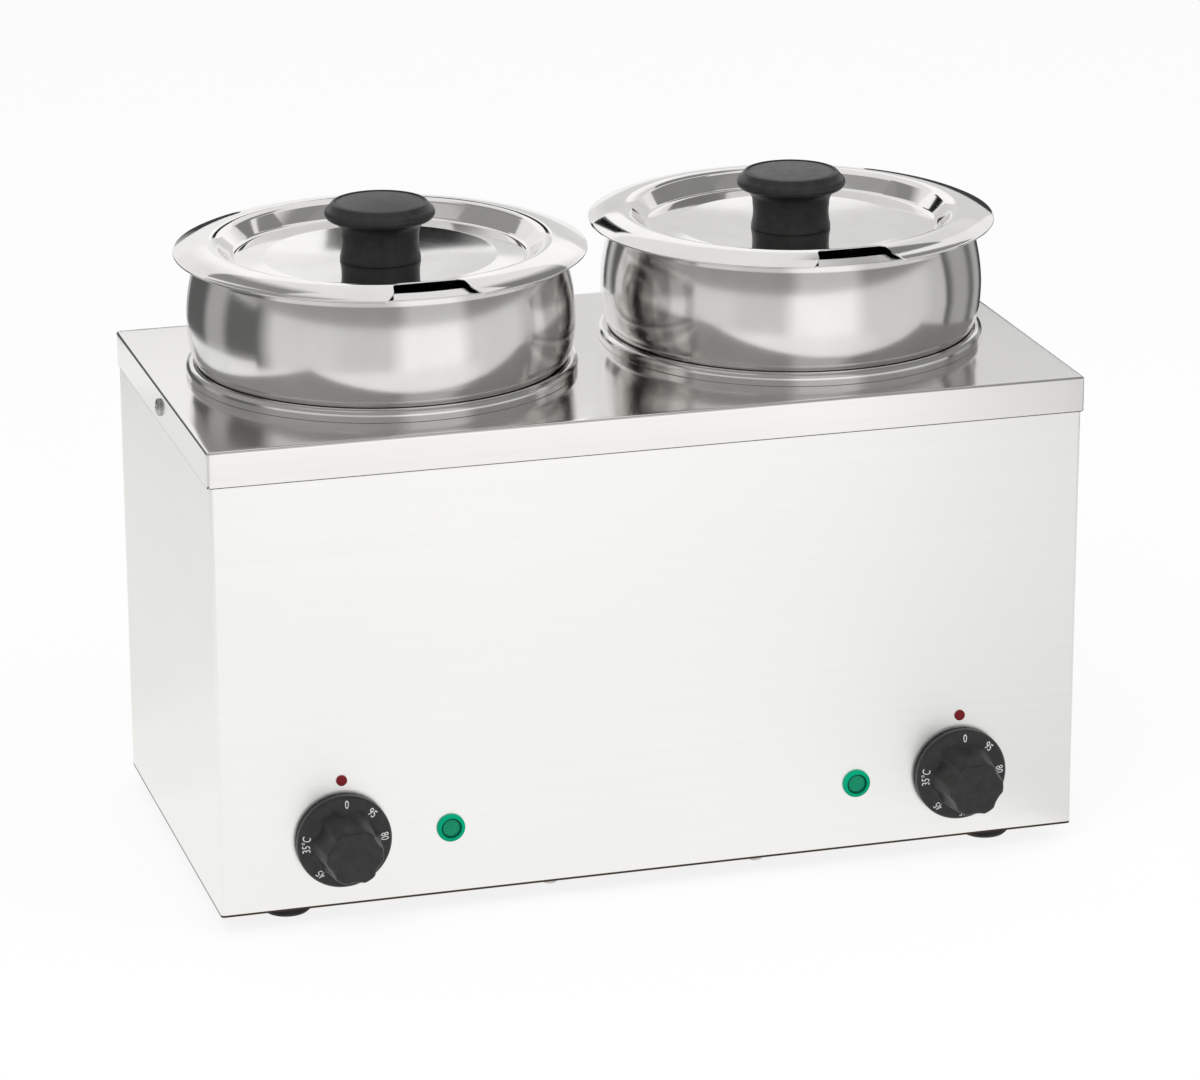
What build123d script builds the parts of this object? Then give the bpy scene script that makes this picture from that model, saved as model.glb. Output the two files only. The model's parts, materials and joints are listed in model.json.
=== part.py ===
"""Table-top bain marie with two lift-out pots: every piece as a solid of its own.

Millimetres, +Z up, +X to the right of someone standing in front, +Y away from them.
The origin lies on the table, under the middle of the whole machine's bounding box.
"""
from build123d import *
import os
from math import atan2, cos, degrees, pi, radians, sin, sqrt

full_turn = 360.0       # degrees

# Housing
side_margin = 25.8      # from a well's inside to the end of the cover
front_margin = 30.0
rear_margin = 14.0
body_h = 262.0          # casing underside to cover top
foot_h = 10.0           # table to casing underside
sheet_t = 1.0           # casing, cover, base and rear sheet
sheet_gap = 0.2         # between the cover's skirt and the casing
cover_skirt = 20.0
cover_edge_r = 1.6      # outside radius of the cover's folds
casing_fold_r = 2.0     # outside radius of the casing's front corners
casing_flange = 12.0    # return flanges at the bottom and at the rear
plate_gap = 0.4         # round the base plate, inside the casing
vent_len = 34.0         # air slots in the base plate
vent_w = 5.0
vent_pitch = 12.0
vent_rows = 7

# Wells and what shows of them
well_r = 101.0          # inside
well_gap = 34.4         # between the wells' insides
well_t = 0.8
well_depth = 165.0      # cover top to the well's floor
well_corner = 12.0      # outside radius where wall meets floor
bead_w = 7.0            # rolled rim on the cover, from the well's inside out
bead_h = 7.0
hole_gap = 0.5          # cover hole round the well
bracket_reach = 14.0    # brackets that hold the wells down
bracket_drop = 16.0
bracket_w = 18.0
bracket_t = 1.5
bracket_turn = 45      # degrees, of the first of four round each well

# Pots
pot_gap = 4.0           # round the part that hangs in the well
pot_t = 0.8
pot_depth = 140.0       # cover top to the pot's underside
pot_corner = 16.0
pot_belly_out = 10.0    # past the part in the well, as are the next four
pot_belly_z = 33.0      # above the cover top, as are the next heights
pot_crease_out = 8.6
pot_crease_z = 14.0
pot_barrel_out = 9.7
pot_barrel_z = 23.0
pot_shoulder_out = 8.4
pot_shoulder_z = 47.5
pot_neck_out = 4.6
pot_neck_z = 62.5
pot_flange_out = 14.0
pot_flange_rise = 1.6   # how much higher the flange starts at the neck
seat_gap = 0.3          # between a lift-off part and its seat
cone_rise = 7.0         # top of the pot's seating cone above the cover

# Lids
lid_over = 2.4          # lid's edge past the pot's flange
lid_t = 0.8
lid_floor_z = 62.0      # recessed floor at the middle, above the cover top
lid_dish = 1.6          # how much higher the floor lies at its edge
lid_floor_in = 34.4     # end of the floor, in from the lid's edge, as are the next five
lid_seat_margin = 2.0   # flat of the floor round the knob
lid_foot_in = 30.9      # foot of the step's wall
lid_foot_z = 65.0
lid_head_in = 24.8      # and its head
lid_head_z = 71.0
lid_crest_in = 18.4
lid_crest_z = 73.2
lid_ease = 0.3          # how far the fold below the step's wall bows out
lid_roll = 0.5          # and the one above it
lid_brim_in = 8.4       # half way down the brim
lid_brim_z = 71.7
lid_edge_z = 68.4
lid_lip = 1.0           # turned-down lip
lid_turn = 1.5          # degrees that each lid sits round from facing the front
notch_in = 18.9         # spoon notch: from here to the rim
notch_in_w = 40.0
notch_mid_w = 41.0      # where its sides start to flare
notch_flare = 8.0       # from there to the rim
notch_flare_r = 9.0
notch_rim_w = 58.0
notch_corner = 5.0
notch_edge = 0.5        # how near to the flare's start its corners are looked for

# Lid knobs
grip_h = 32.4
grip_base_r = 22.2
grip_waist_r = 20.9
grip_waist_z = 13.0
grip_foot = 1.5         # upright edge at the stem's foot
grip_neck_r = 21.6
grip_neck_z = 20.5
grip_under_r = 26.3     # where the cap's underside ends
grip_cap_low = 23.5
grip_cap_r = 30.3
grip_cap_mid = 27.6
grip_rim_r = 26.9       # where the cap's rounded edge meets the groove
grip_rim_down = 0.6
grip_disc_r = 25.4
grip_groove = 0.7
grip_screw_r = 2.5
grip_screw_depth = 16.0
grip_head_r = 8.0
grip_head_h = 3.0

# Controls on the front, their heights above the casing underside
dial_in = 68.8          # dial's centre from the end of the cover
dial_z = 38.3
dial_r = 26.2
dial_rim = 6.0          # depth of the dial's skirt
dial_off = 1.2          # skirt to panel
knob_reach = 29.5       # grip's face in front of the panel
knob_r = 18.8
knob_lobes = 6
knob_scallop_r = 9.0
knob_scallop_at = 25.0
knob_edge = 1.4
dial_wall = 2.4         # round the hollow in the dial's back
dial_hollow = 3.4
dial_slope_r = 25.2     # where the dial's face meets its rounded edge
dial_edge = 2.5
shaft_r = 3.0
shaft_fit = 0.05        # running clearance on the radius
shaft_in_knob = 15.0
bush_r = 5.0
thermostat = (46.0, 30.0, 40.0)   # width, depth, height
thermostat_screw_x = 14.0
thermostat_screw_len = 6.0
thermostat_wall = 8.0   # solid behind the shaft's bore
thermostat_edge = 2.0
bush_proud = 0.5        # bush in front of the panel
tab_w = 6.0             # spade terminals
tab_t = 0.8
tab_len = 9.0
tab_drop = 8.0          # thermostat's terminals below its shaft
tab_step = 10.0
lamp_in = 60.2          # lamp's centre from the dial's
lamp_z = 38.0
lamp_r = 7.8
lamp_neck_r = 6.4
lamp_neck = 4.0         # lens neck, through the front
lamp_edge = 0.8
lamp_bezel = 2.0
lamp_lens_r = 5.2
lamp_catch = 1.2        # shoulder behind the panel
lamp_catch_len = 5.0
lamp_barrel = 20.0
lamp_tab_step = 3.5
marker_z = 71.8
marker_r = 3.0
marker_stem_r = 1.4
marker_h = 1.2
marker_edge = 0.5
marker_tail = 3.0       # stem behind the panel
panel_fit = 0.15        # round what passes through a sheet

# Heating
element_in = 43.0       # heater's middle line from the well's inside
element_tube_r = 4.0
element_sweep = 290.0
element_leg = 22.0
element_pin = 8.0       # terminal pin below each leg
element_hole_gap = 0.6  # clamp plate round each leg
contact_gap = 0.05      # between a clamped piece and what it is clamped to
clamp_in = 27.0         # clamp plate's edge from the well's inside
clamp_t = 2.0
stud_r = 3.0
stud_tail = 12.0        # stud below the clamp plate
clamp_nut_w = 10.0
clamp_nut_h = 5.0
cutout_r = 8.0
cutout_h = 7.0
cutout_ear = 14.0
cutout_ear_w = 6.0
cutout_ear_t = 1.0
cutout_back = 34.0      # cut-out in front of the well's centre
cutout_tab_step = 4.0
bulb_r = 3.0
bulb_len = 72.0
bulb_z = 140.0
bulb_side = 46.0        # bulb's place, sideways from the well's centre
bulb_edge = 1.2
clip_w = 14.0
clip_t = 1.0
clip_mouth = 4.0        # between the clip's ends, which are welded to the well
capillary_r = 1.0
capillary_bend = 8.0
capillary_bends = (0.4, 0.7)      # where the tube bends, as shares of its rise
capillary_in = 2.0      # tube inside the bulb
wire_r = 1.3
wire_bend = 6.5
wire_run = 40.0         # wires' run above the base plate
wire_drop = 26.0        # wires' sag below the terminals that they leave
wire_step = 22.0        # straight start of a wire

# Feet and fasteners
foot_r = 14.0
foot_in_x = 43.0        # foot centre from the side of the cover
foot_in_y = 28.5
foot_taper = 2.0
screw_r = 1.9
head_r = 4.2
head_h = 2.4
screw_slot_w = 0.9
screw_slot_h = 0.8
cover_head_r = 4.9
cover_screw_down = 10.0
nut_h = 3.4
nut_r = 4.2
cover_screw_len = 9.0
rear_screw_len = 8.0
base_screw_len = 7.0
rear_screw_low = 0.16   # lowest rear screws, as a share of the housing's height
base_screw_along = 0.3  # side flanges' screws from the middle, as a share of the depth
flat_head_h = 1.9       # low heads, behind the dials and on the rear
foot_hollow_gap = 1.5   # foot's hollow round the screw's head
foot_hollow = 4.8
foot_screw_tail = 1.0   # screw above its nut

# Supply entry and terminals
gland_in = 69.0         # gland's centre from the end of the cover
gland_z = 42.0
gland_r = 9.9           # over the collar's corners
gland_bore = 4.2
gland_reach = 17.0
gland_neck_r = 6.5
gland_collar = 5.0
gland_cap_r = 8.1
gland_tail = 9.0        # neck inside the casing
gland_nut_w = 19.0
gland_nut_h = 5.0
terminal = (54.0, 20.0, 18.0)
terminal_in_x = 80.0    # terminal block's centre from the gland's
terminal_in_y = 46.0
terminal_pitch = 10.0
terminal_pole = 8.0
terminal_bore = 2.2
terminal_bore_h = 6.0
terminal_base = 6.0
terminal_screw_in = 3.5
terminal_screw_tail = 4.0
earth_x = 22.0          # earthing stud, beside the gland
earth_r = 2.5
earth_h = 15.0
earth_nut_w = 8.0
earth_nut_h = 4.0
earth_nut_up = 3.0

# Sizes and places worked out from the sizes
well_x = well_r + well_gap / 2
body_w = 2 * (well_x + well_r + side_margin)
body_d = 2 * well_r + front_margin + rear_margin
bead_r = well_r + bead_w
pot_r = well_r - pot_gap
pot_belly_r = pot_r + pot_belly_out
pot_crease = (pot_r + pot_crease_out, pot_crease_z)
pot_barrel = (pot_r + pot_barrel_out, pot_barrel_z)
pot_shoulder = (pot_r + pot_shoulder_out, pot_shoulder_z)
pot_neck_r = pot_r + pot_neck_out
pot_flange_r = pot_r + pot_flange_out
lid_r = pot_flange_r + lid_over
lid_floor_r = lid_r - lid_floor_in
lid_step = ((lid_r - lid_foot_in, lid_foot_z), (lid_r - lid_head_in, lid_head_z))
lid_crest = (lid_r - lid_crest_in, lid_crest_z)
lid_brim = (lid_r - lid_brim_in, lid_brim_z)
notch_in_r = lid_r - notch_in
dial_x = body_w / 2 - dial_in
lamp_x = dial_x - lamp_in
element_r = well_r - element_in
clamp_r = well_r - clamp_in
gland_x = body_w / 2 - gland_in
terminal_x = gland_x - terminal_in_x
overall_d = knob_reach + body_d + gland_reach
front_y = knob_reach - overall_d / 2
rear_y = front_y + body_d
mid_y = (front_y + rear_y) / 2
top_z = foot_h + body_h
well_y = front_y + front_margin + well_r
casing_x = body_w / 2 - sheet_t - sheet_gap
casing_front = front_y + sheet_t + sheet_gap
casing_rear = rear_y - 2 * sheet_t - sheet_gap
casing_top = top_z - sheet_t
panel_in = casing_front + sheet_t
base_z = foot_h + sheet_t
base_top = base_z + sheet_t
dial_y = casing_front
dial_up = foot_h + dial_z
lamp_up = foot_h + lamp_z
marker_up = foot_h + marker_z
floor_z = top_z - well_depth
floor_under = floor_z - well_t
pot_under = top_z - pot_depth
clamp_top = floor_under - 2 * element_tube_r - 2 * contact_gap
clamp_under = clamp_top - clamp_t
terminal_y = rear_y - terminal_in_y
terminal_top = base_top + terminal[2]
bead_round = (bead_r - well_r) / 2
bead_mid_r = (bead_r + well_r) / 2
bead_mid_z = top_z + bead_h - bead_round
cone_offset = bead_mid_r - bead_mid_z - sqrt(2) * (bead_round + seat_gap)

SIDES = {"left": -1, "right": 1}
UPRIGHT = (Align.CENTER, Align.CENTER, Align.MIN)


def rod(radius, start, end):
    """Round bar from one point to another."""
    start, end = Vector(*start), Vector(*end)
    return Plane(origin=start, z_dir=end - start) * Cylinder(radius, (end - start).length, align=UPRIGHT)


def block(low, high):
    """Box between two opposite corners."""
    size = [b - a for a, b in zip(low, high)]
    return Pos(*low) * Box(*size, align=(Align.MIN, Align.MIN, Align.MIN))


def turned(outline, x=0.0, y=0.0):
    """Solid of revolution about an upright axis, from an outline in (radius, height)."""
    return Pos(x, y, 0) * revolve(Plane.XZ * make_face(outline), Axis.Z)


def ring(inner, outer, low, high):
    """Outline of a plain ring."""
    return Polyline((inner, low), (outer, low), (outer, high), (inner, high), close=True)


def hexagon_nut(bore, across, height, start, along):
    """Nut that starts at a point and runs along a direction."""
    place = Plane(origin=start, z_dir=along)
    body = extrude(RegularPolygon(across / sqrt(3), 6), height)
    return place * (body - Cylinder(bore, height * 3))


def pan_screw(start, along, length, shank=screw_r, head=head_r, depth=head_h):
    """Pan-head screw whose head seats at a point, with its shank running along a direction."""
    dome = depth / 2
    off = dome * (1 - cos(pi / 4))
    outline = (Line((0, -depth), (head - dome, -depth))
               + ThreePointArc((head - dome, -depth), (head - off, off - depth), (head, -dome))
               + Polyline((head, -dome), (head, 0), (shank, 0), (shank, length), (0, length), (0, -depth)))
    screw = revolve(Plane.XZ * make_face(outline), Axis.Z)
    slot = Pos(0, 0, -depth) * Box(head * 3, screw_slot_w, 2 * screw_slot_h)
    return Plane(origin=start, z_dir=along) * (screw - slot)


def bent_tube(points, radius, bend):
    """Round tube along straight runs joined by tangent arcs."""
    path = FilletPolyline(*points, radius=bend)
    return sweep(Plane(origin=path @ 0, z_dir=path % 0) * Circle(radius), path)


def group(solids):
    """Several separate solids under one name."""
    return Compound(children=list(solids))


def casing():
    """Front and both sides folded from one sheet, with return flanges below and at the rear."""
    outer = block((-casing_x, casing_front, foot_h), (casing_x, casing_rear, casing_top))
    outer = fillet(outer.edges().filter_by(Axis.Z).sort_by(Axis.Y)[:2], casing_fold_r)
    inner = block((sheet_t - casing_x, panel_in, base_z), (casing_x - sheet_t, rear_y, top_z))
    inner = fillet(inner.edges().filter_by(Axis.Z).sort_by(Axis.Y)[:2], casing_fold_r - sheet_t)
    shell = outer - inner
    shell -= block((casing_flange - casing_x, casing_front + casing_flange, 0),
                   (casing_x - casing_flange, rear_y, base_z + sheet_t))
    for side in SIDES.values():
        xs = sorted((side * casing_x, side * (casing_x - casing_flange)))
        shell += block((xs[0], casing_rear - sheet_t, base_z), (xs[1], casing_rear, casing_top))
        shell -= rod(bush_r + panel_fit, (side * dial_x, front_y, dial_up),
                     (side * dial_x, panel_in + 1, dial_up))
        for step in (-thermostat_screw_x, thermostat_screw_x):
            x = side * dial_x + step
            shell -= rod(screw_r + panel_fit, (x, front_y, dial_up), (x, panel_in + 1, dial_up))
        shell -= rod(lamp_neck_r + panel_fit, (side * lamp_x, front_y, lamp_up),
                     (side * lamp_x, panel_in + 1, lamp_up))
        shell -= rod(marker_stem_r + panel_fit, (side * dial_x, front_y, marker_up),
                     (side * dial_x, panel_in + 1, marker_up))
        shell -= rod(screw_r + panel_fit, (side * (casing_x - 3), mid_y, top_z - cover_screw_down),
                     (side * (casing_x + 1), mid_y, top_z - cover_screw_down))
    for x, z in rear_screw_places():
        shell -= rod(screw_r + panel_fit, (x, casing_rear - 3, z), (x, casing_rear + 1, z))
    for x, y in base_screw_places():
        shell -= rod(screw_r + panel_fit, (x, y, 0), (x, y, base_z + 1))
    return shell


def top_cover():
    """Tray-shaped cover, folded down on all four sides, with a round hole for each well."""
    outer = block((-body_w / 2, front_y, top_z - cover_skirt), (body_w / 2, rear_y, top_z))
    outer = fillet(outer.edges().filter_by(Axis.Z) + outer.edges().group_by(Axis.Z)[-1], cover_edge_r)
    inner = block((sheet_t - body_w / 2, front_y + sheet_t, 0),
                  (body_w / 2 - sheet_t, rear_y - sheet_t, casing_top))
    inner = fillet(inner.edges().filter_by(Axis.Z), cover_edge_r - sheet_t)
    cover = outer - inner
    for side in SIDES.values():
        cover -= rod(well_r + well_t + hole_gap, (side * well_x, well_y, casing_top - 3),
                     (side * well_x, well_y, top_z + 3))
        cover -= rod(screw_r + panel_fit, (side * (casing_x - 3), mid_y, top_z - cover_screw_down),
                     (side * (body_w / 2 + 1), mid_y, top_z - cover_screw_down))
    return cover


def rear_screw_places():
    """Screws of the rear panel, in x and z."""
    heights = [foot_h + share * body_h for share in (rear_screw_low, 0.5, 1 - rear_screw_low)]
    return [(side * (casing_x - casing_flange / 2), z) for side in SIDES.values() for z in heights]


def base_screw_places():
    """Screws that hold the base plate to the casing's flanges, in x and y."""
    front = casing_front + casing_flange / 2
    side_x = casing_x - casing_flange / 2
    along = (mid_y - base_screw_along * body_d, mid_y + base_screw_along * body_d)
    return [(side * well_x / 2, front) for side in SIDES.values()] + [
        (side * side_x, y) for side in SIDES.values() for y in along]


def foot_places():
    """Centres of the four feet, by name."""
    x, y = body_w / 2 - foot_in_x, body_d / 2 - foot_in_y
    return {f"foot_{end}_{name}": (side * x, mid_y + way * y)
            for name, side in SIDES.items() for end, way in (("front", -1), ("rear", 1))}


def terminal_screw_places():
    """Fixing screws of the terminal block, in x and y."""
    return [(terminal_x + way * (terminal[0] / 2 - terminal_screw_in), terminal_y) for way in (-1, 1)]


def rear_panel():
    """Flat sheet that closes the back, with the hole for the supply cord's gland."""
    panel = block((-casing_x, casing_rear, foot_h), (casing_x, casing_rear + sheet_t, casing_top))
    panel -= rod(gland_neck_r + panel_fit, (gland_x, casing_rear - 1, foot_h + gland_z),
                 (gland_x, rear_y + 1, foot_h + gland_z))
    for x, z in rear_screw_places():
        panel -= rod(screw_r + panel_fit, (x, casing_rear - 1, z), (x, rear_y + 1, z))
    return panel


def base_plate():
    """Sheet inside the casing's bottom flanges, with two fields of air slots."""
    x = casing_x - sheet_t - plate_gap
    plate = block((-x, panel_in + plate_gap, base_z), (x, casing_rear - sheet_t - plate_gap, base_top))
    slot = extrude(SlotOverall(vent_len, vent_w), sheet_t * 3, both=True)
    for side in SIDES.values():
        for row in range(vent_rows):
            y = well_y + (row - (vent_rows - 1) / 2) * vent_pitch
            plate -= Pos(side * well_x, y, base_z) * slot
    for x, y in [*foot_places().values(), *base_screw_places(), *terminal_screw_places()]:
        plate -= rod(screw_r + panel_fit, (x, y, base_z - 1), (x, y, base_top + 1))
    return plate


def foot(x, y):
    """Rubber foot, hollowed below for its screw's head."""
    hollow_r = head_r + foot_hollow_gap
    outline = Polyline((screw_r + panel_fit, foot_hollow), (hollow_r, foot_hollow), (hollow_r, 0),
                       (foot_r - foot_taper, 0), (foot_r, foot_taper), (foot_r, base_z),
                       (screw_r + panel_fit, base_z), close=True)
    return turned(outline, x, y)


def foot_screws():
    """One screw up through each foot and the base plate."""
    length = base_top + nut_h + foot_screw_tail - foot_hollow
    return group(pan_screw((x, y, foot_hollow), (0, 0, 1), length)
                 for x, y in foot_places().values())


def foot_nuts():
    """Nuts on the foot screws, inside the base."""
    return group(hexagon_nut(screw_r + panel_fit, 2 * nut_r, nut_h, (x, y, base_top), (0, 0, 1))
                 for x, y in foot_places().values())


def cover_screws():
    """One screw through the cover's skirt on each side."""
    z = top_z - cover_screw_down
    return group(pan_screw((side * body_w / 2, mid_y, z), (-side, 0, 0), cover_screw_len, head=cover_head_r)
                 for side in SIDES.values())


def rear_screws():
    """Screws of the rear panel."""
    return group(pan_screw((x, casing_rear + sheet_t, z), (0, -1, 0), rear_screw_len, depth=flat_head_h)
                 for x, z in rear_screw_places())


def base_screws():
    """Screws up through the flanges into the base plate."""
    return group(pan_screw((x, y, foot_h), (0, 0, 1), base_screw_len) for x, y in base_screw_places())


def well(side):
    """Round water well: rolled rim on the cover, straight wall and flat floor."""
    out, corner = well_r + well_t, well_corner
    bend = (out - corner * (1 - cos(pi / 4)), floor_under + corner * (1 - sin(pi / 4)))
    outside = (Line((0, floor_under), (out - corner, floor_under))
               + ThreePointArc((out - corner, floor_under), bend, (out, floor_under + corner))
               + Polyline((out, floor_under + corner), (out, bead_mid_z), (0, bead_mid_z),
                          (0, floor_under)))
    corner = well_corner - well_t
    bend = (well_r - corner * (1 - cos(pi / 4)), floor_z + corner * (1 - sin(pi / 4)))
    inside = (Line((0, floor_z), (well_r - corner, floor_z))
              + ThreePointArc((well_r - corner, floor_z), bend, (well_r, floor_z + corner))
              + Polyline((well_r, floor_z + corner), (well_r, top_z + bead_h), (0, top_z + bead_h),
                         (0, floor_z)))
    thin = bead_round - well_t
    within = bead_r - well_t
    bead = (ThreePointArc((well_r, bead_mid_z), (bead_mid_r, top_z + bead_h), (bead_r, bead_mid_z))
            + Polyline((bead_r, bead_mid_z), (bead_r, top_z), (within, top_z), (within, bead_mid_z))
            + ThreePointArc((within, bead_mid_z), (bead_mid_r, bead_mid_z + thin), (out, bead_mid_z))
            + Line((out, bead_mid_z), (well_r, bead_mid_z)))
    x = side * well_x
    return turned(outside, x, well_y) - turned(inside, x, well_y) + turned(bead, x, well_y)


def well_brackets():
    """Angle brackets, welded to the wells, that hold them down under the cover."""
    wall, low = well_r + well_t, casing_top - bracket_drop
    made = []
    for side in SIDES.values():
        for quarter in range(4):
            angle = block((wall - bracket_t, -bracket_w / 2, low),
                          (wall + bracket_reach, bracket_w / 2, casing_top))
            angle -= block((wall + bracket_t, -bracket_w, low - 1),
                           (wall + bracket_reach + 1, bracket_w, casing_top - bracket_t))
            angle -= rod(wall, (0, 0, low - 1), (0, 0, casing_top + 1))
            made.append(Pos(side * well_x, well_y, 0) * Rot(0, 0, bracket_turn + 90 * quarter) * angle)
    return group(made)


def heating_element(side):
    """Tubular heater bent to an open ring under the well, with two legs down to its terminals."""
    z = floor_under - contact_gap - element_tube_r
    bent = Torus(element_r, element_tube_r, major_angle=element_sweep)
    heater = Pos(side * well_x, well_y, z) * Rot(0, 0, 90 + (full_turn - element_sweep) / 2) * bent
    for x, y in element_leg_places(side):
        heater += Pos(x, y, z) * Sphere(element_tube_r)
        heater += rod(element_tube_r, (x, y, z), (x, y, z - element_leg))
        heater += rod(element_tube_r / 2, (x, y, z), (x, y, z - element_leg - element_pin))
    return heater


def element_leg_places(side):
    """Where the heater's legs stand, either side of the ring's gap at the rear."""
    gap = (full_turn - element_sweep) / 2
    return [(side * well_x - way * element_r * sin(radians(gap)), well_y + element_r * cos(radians(gap)))
            for way in (-1, 1)]


def clamp_plate(side):
    """Aluminium disc that presses the heater to the well's floor."""
    x = side * well_x
    plate = rod(clamp_r, (x, well_y, clamp_under), (x, well_y, clamp_top))
    plate -= rod(stud_r + panel_fit, (x, well_y, clamp_under - 1), (x, well_y, clamp_top + 1))
    for leg_x, leg_y in element_leg_places(side):
        plate -= rod(element_tube_r + element_hole_gap, (leg_x, leg_y, clamp_under - 1),
                     (leg_x, leg_y, clamp_top + 1))
    return plate


def clamp_stud(side):
    """Stud welded under the well's floor."""
    x = side * well_x
    return rod(stud_r, (x, well_y, clamp_under - stud_tail), (x, well_y, floor_under))


def clamp_nut(side):
    """Nut that pulls the clamp plate up."""
    place = (side * well_x, well_y, clamp_under)
    return hexagon_nut(stud_r + panel_fit, clamp_nut_w, clamp_nut_h, place, (0, 0, -1))


def cutout(side):
    """Overheat cut-out on the clamp plate, with two spade terminals."""
    x, y = side * well_x, well_y - cutout_back
    body = rod(cutout_r, (x, y, clamp_under - cutout_h), (x, y, clamp_under))
    body += block((x - cutout_ear, y - cutout_ear_w / 2, clamp_under - cutout_ear_t),
                  (x + cutout_ear, y + cutout_ear_w / 2, clamp_under))
    for step in (-cutout_tab_step, cutout_tab_step):
        body += block((x + step - tab_t / 2, y - tab_w / 2, clamp_under - cutout_h - tab_len),
                      (x + step + tab_t / 2, y + tab_w / 2, clamp_under - cutout_h / 2))
    return body


def thermostat_body(side):
    """Capillary thermostat behind the front, with the bush that carries the control shaft."""
    wide, deep, high = thermostat
    x = side * dial_x
    body = block((x - wide / 2, panel_in, dial_up - high / 2),
                 (x + wide / 2, panel_in + deep, dial_up + high / 2))
    body = fillet(body.edges().filter_by(Axis.Y), thermostat_edge)
    body += rod(bush_r, (x, dial_y - bush_proud, dial_up), (x, panel_in + 1, dial_up))
    body -= rod(shaft_r + shaft_fit, (x, dial_y - 1, dial_up),
                (x, panel_in + deep - thermostat_wall, dial_up))
    for step in (-thermostat_screw_x, thermostat_screw_x):
        body -= rod(screw_r + panel_fit, (x + step, panel_in - 1, dial_up),
                    (x + step, panel_in + thermostat_screw_len + seat_gap, dial_up))
    for step in (-tab_step, 0, tab_step):
        body += block((x + step - tab_w / 2, panel_in + deep - 1, dial_up - tab_drop - tab_t / 2),
                      (x + step + tab_w / 2, panel_in + deep + tab_len, dial_up - tab_drop + tab_t / 2))
    return body


def thermostat_screws():
    """Two screws through the front into each thermostat, hidden by its dial."""
    length = sheet_t + thermostat_screw_len
    return group(pan_screw((side * dial_x + step, dial_y, dial_up), (0, 1, 0), length, depth=flat_head_h)
                 for side in SIDES.values() for step in (-thermostat_screw_x, thermostat_screw_x))


def bulb_place(side):
    """Axis of the sensing bulb, against the well's wall."""
    away = well_r + well_t + contact_gap + bulb_r
    return side * (well_x + bulb_side), well_y - sqrt(away ** 2 - bulb_side ** 2)


def capillary(side):
    """Sensing bulb and the fine tube that joins it to the thermostat."""
    x, y = bulb_place(side)
    bulb = rod(bulb_r, (x, y, bulb_z), (x, y, bulb_z + bulb_len))
    bulb = fillet(bulb.edges(), bulb_edge)
    start_y = panel_in + thermostat[1] / 2
    start_z = dial_up + thermostat[2] / 2
    first, last = (start_z + (bulb_z - start_z) * share for share in capillary_bends)
    route = [(side * dial_x, start_y, start_z), (side * dial_x, start_y, first), (x, y, last),
             (x, y, bulb_z + capillary_in)]
    return bulb + bent_tube(route, capillary_r, capillary_bend)


def bulb_clip(side):
    """Spring clip, welded to the well, that grips the bulb."""
    x, y = bulb_place(side)
    low, high = bulb_z + (bulb_len - clip_w) / 2, bulb_z + (bulb_len + clip_w) / 2
    clip = rod(bulb_r + clip_t, (x, y, low), (x, y, high))
    clip -= rod(bulb_r + contact_gap, (x, y, low - 1), (x, y, high + 1))
    clip -= rod(well_r + well_t, (side * well_x, well_y, low - 1), (side * well_x, well_y, high + 1))
    mouth = Box(2 * bulb_r + clip_t, clip_mouth, 2 * clip_w, align=(Align.MIN, Align.CENTER, Align.MIN))
    facing = degrees(atan2(well_y - y, side * well_x - x))
    return clip - Pos(x, y, low - clip_w / 2) * Rot(0, 0, facing) * mouth


def shaft(side):
    """Control shaft, from inside the thermostat to inside the knob."""
    x = side * dial_x
    inner = panel_in + thermostat[1] - thermostat_wall - seat_gap
    return rod(shaft_r, (x, shaft_end(), dial_up), (x, inner, dial_up))


def shaft_end():
    """How far forward the shaft reaches."""
    return dial_y - dial_off - shaft_in_knob


def knob(side):
    """Control knob: dial disc with a hollow back, and a scalloped grip."""
    back, face = dial_y - dial_off, front_y - knob_reach
    outline = Polyline((0, 0), (dial_r, 0), (dial_r, dial_rim - dial_edge),
                       (dial_slope_r, dial_rim - dial_edge / 2), (knob_r, dial_rim), (0, dial_rim),
                       close=True)
    body = revolve(Plane.XZ * make_face(outline), Axis.Z)
    body -= Cylinder(dial_r - dial_wall, dial_hollow, align=UPRIGHT)
    grip = Circle(knob_r)
    for lobe in range(knob_lobes):
        around = radians(lobe * full_turn / knob_lobes)
        grip -= Pos(knob_scallop_at * sin(around), knob_scallop_at * cos(around)) * Circle(knob_scallop_r)
    grip = Pos(0, 0, dial_hollow) * extrude(grip, back - face - dial_hollow)
    grip = chamfer(grip.faces().sort_by(Axis.Z)[-1].edges(), knob_edge)
    body += grip
    body -= Cylinder(shaft_r + contact_gap, shaft_in_knob + seat_gap, align=UPRIGHT)
    return Plane(origin=(side * dial_x, back, dial_up), x_dir=(1, 0, 0), z_dir=(0, -1, 0)) * body


def lamp_lens(side):
    """Green lens of the pilot lamp, with its neck through the front."""
    floor, front = lamp_neck + lamp_bezel - lamp_edge, lamp_neck + lamp_bezel
    outline = Polyline((0, 0), (lamp_neck_r, 0), (lamp_neck_r, lamp_neck), (lamp_r, lamp_neck),
                       (lamp_r, floor), (lamp_r - lamp_edge, front), (lamp_lens_r + lamp_edge, front),
                       (lamp_lens_r, floor), (0, floor), close=True)
    lens = revolve(Plane.XZ * make_face(outline), Axis.Z)
    return Plane(origin=(side * lamp_x, dial_y + lamp_neck, lamp_up), z_dir=(0, -1, 0)) * lens


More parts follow.
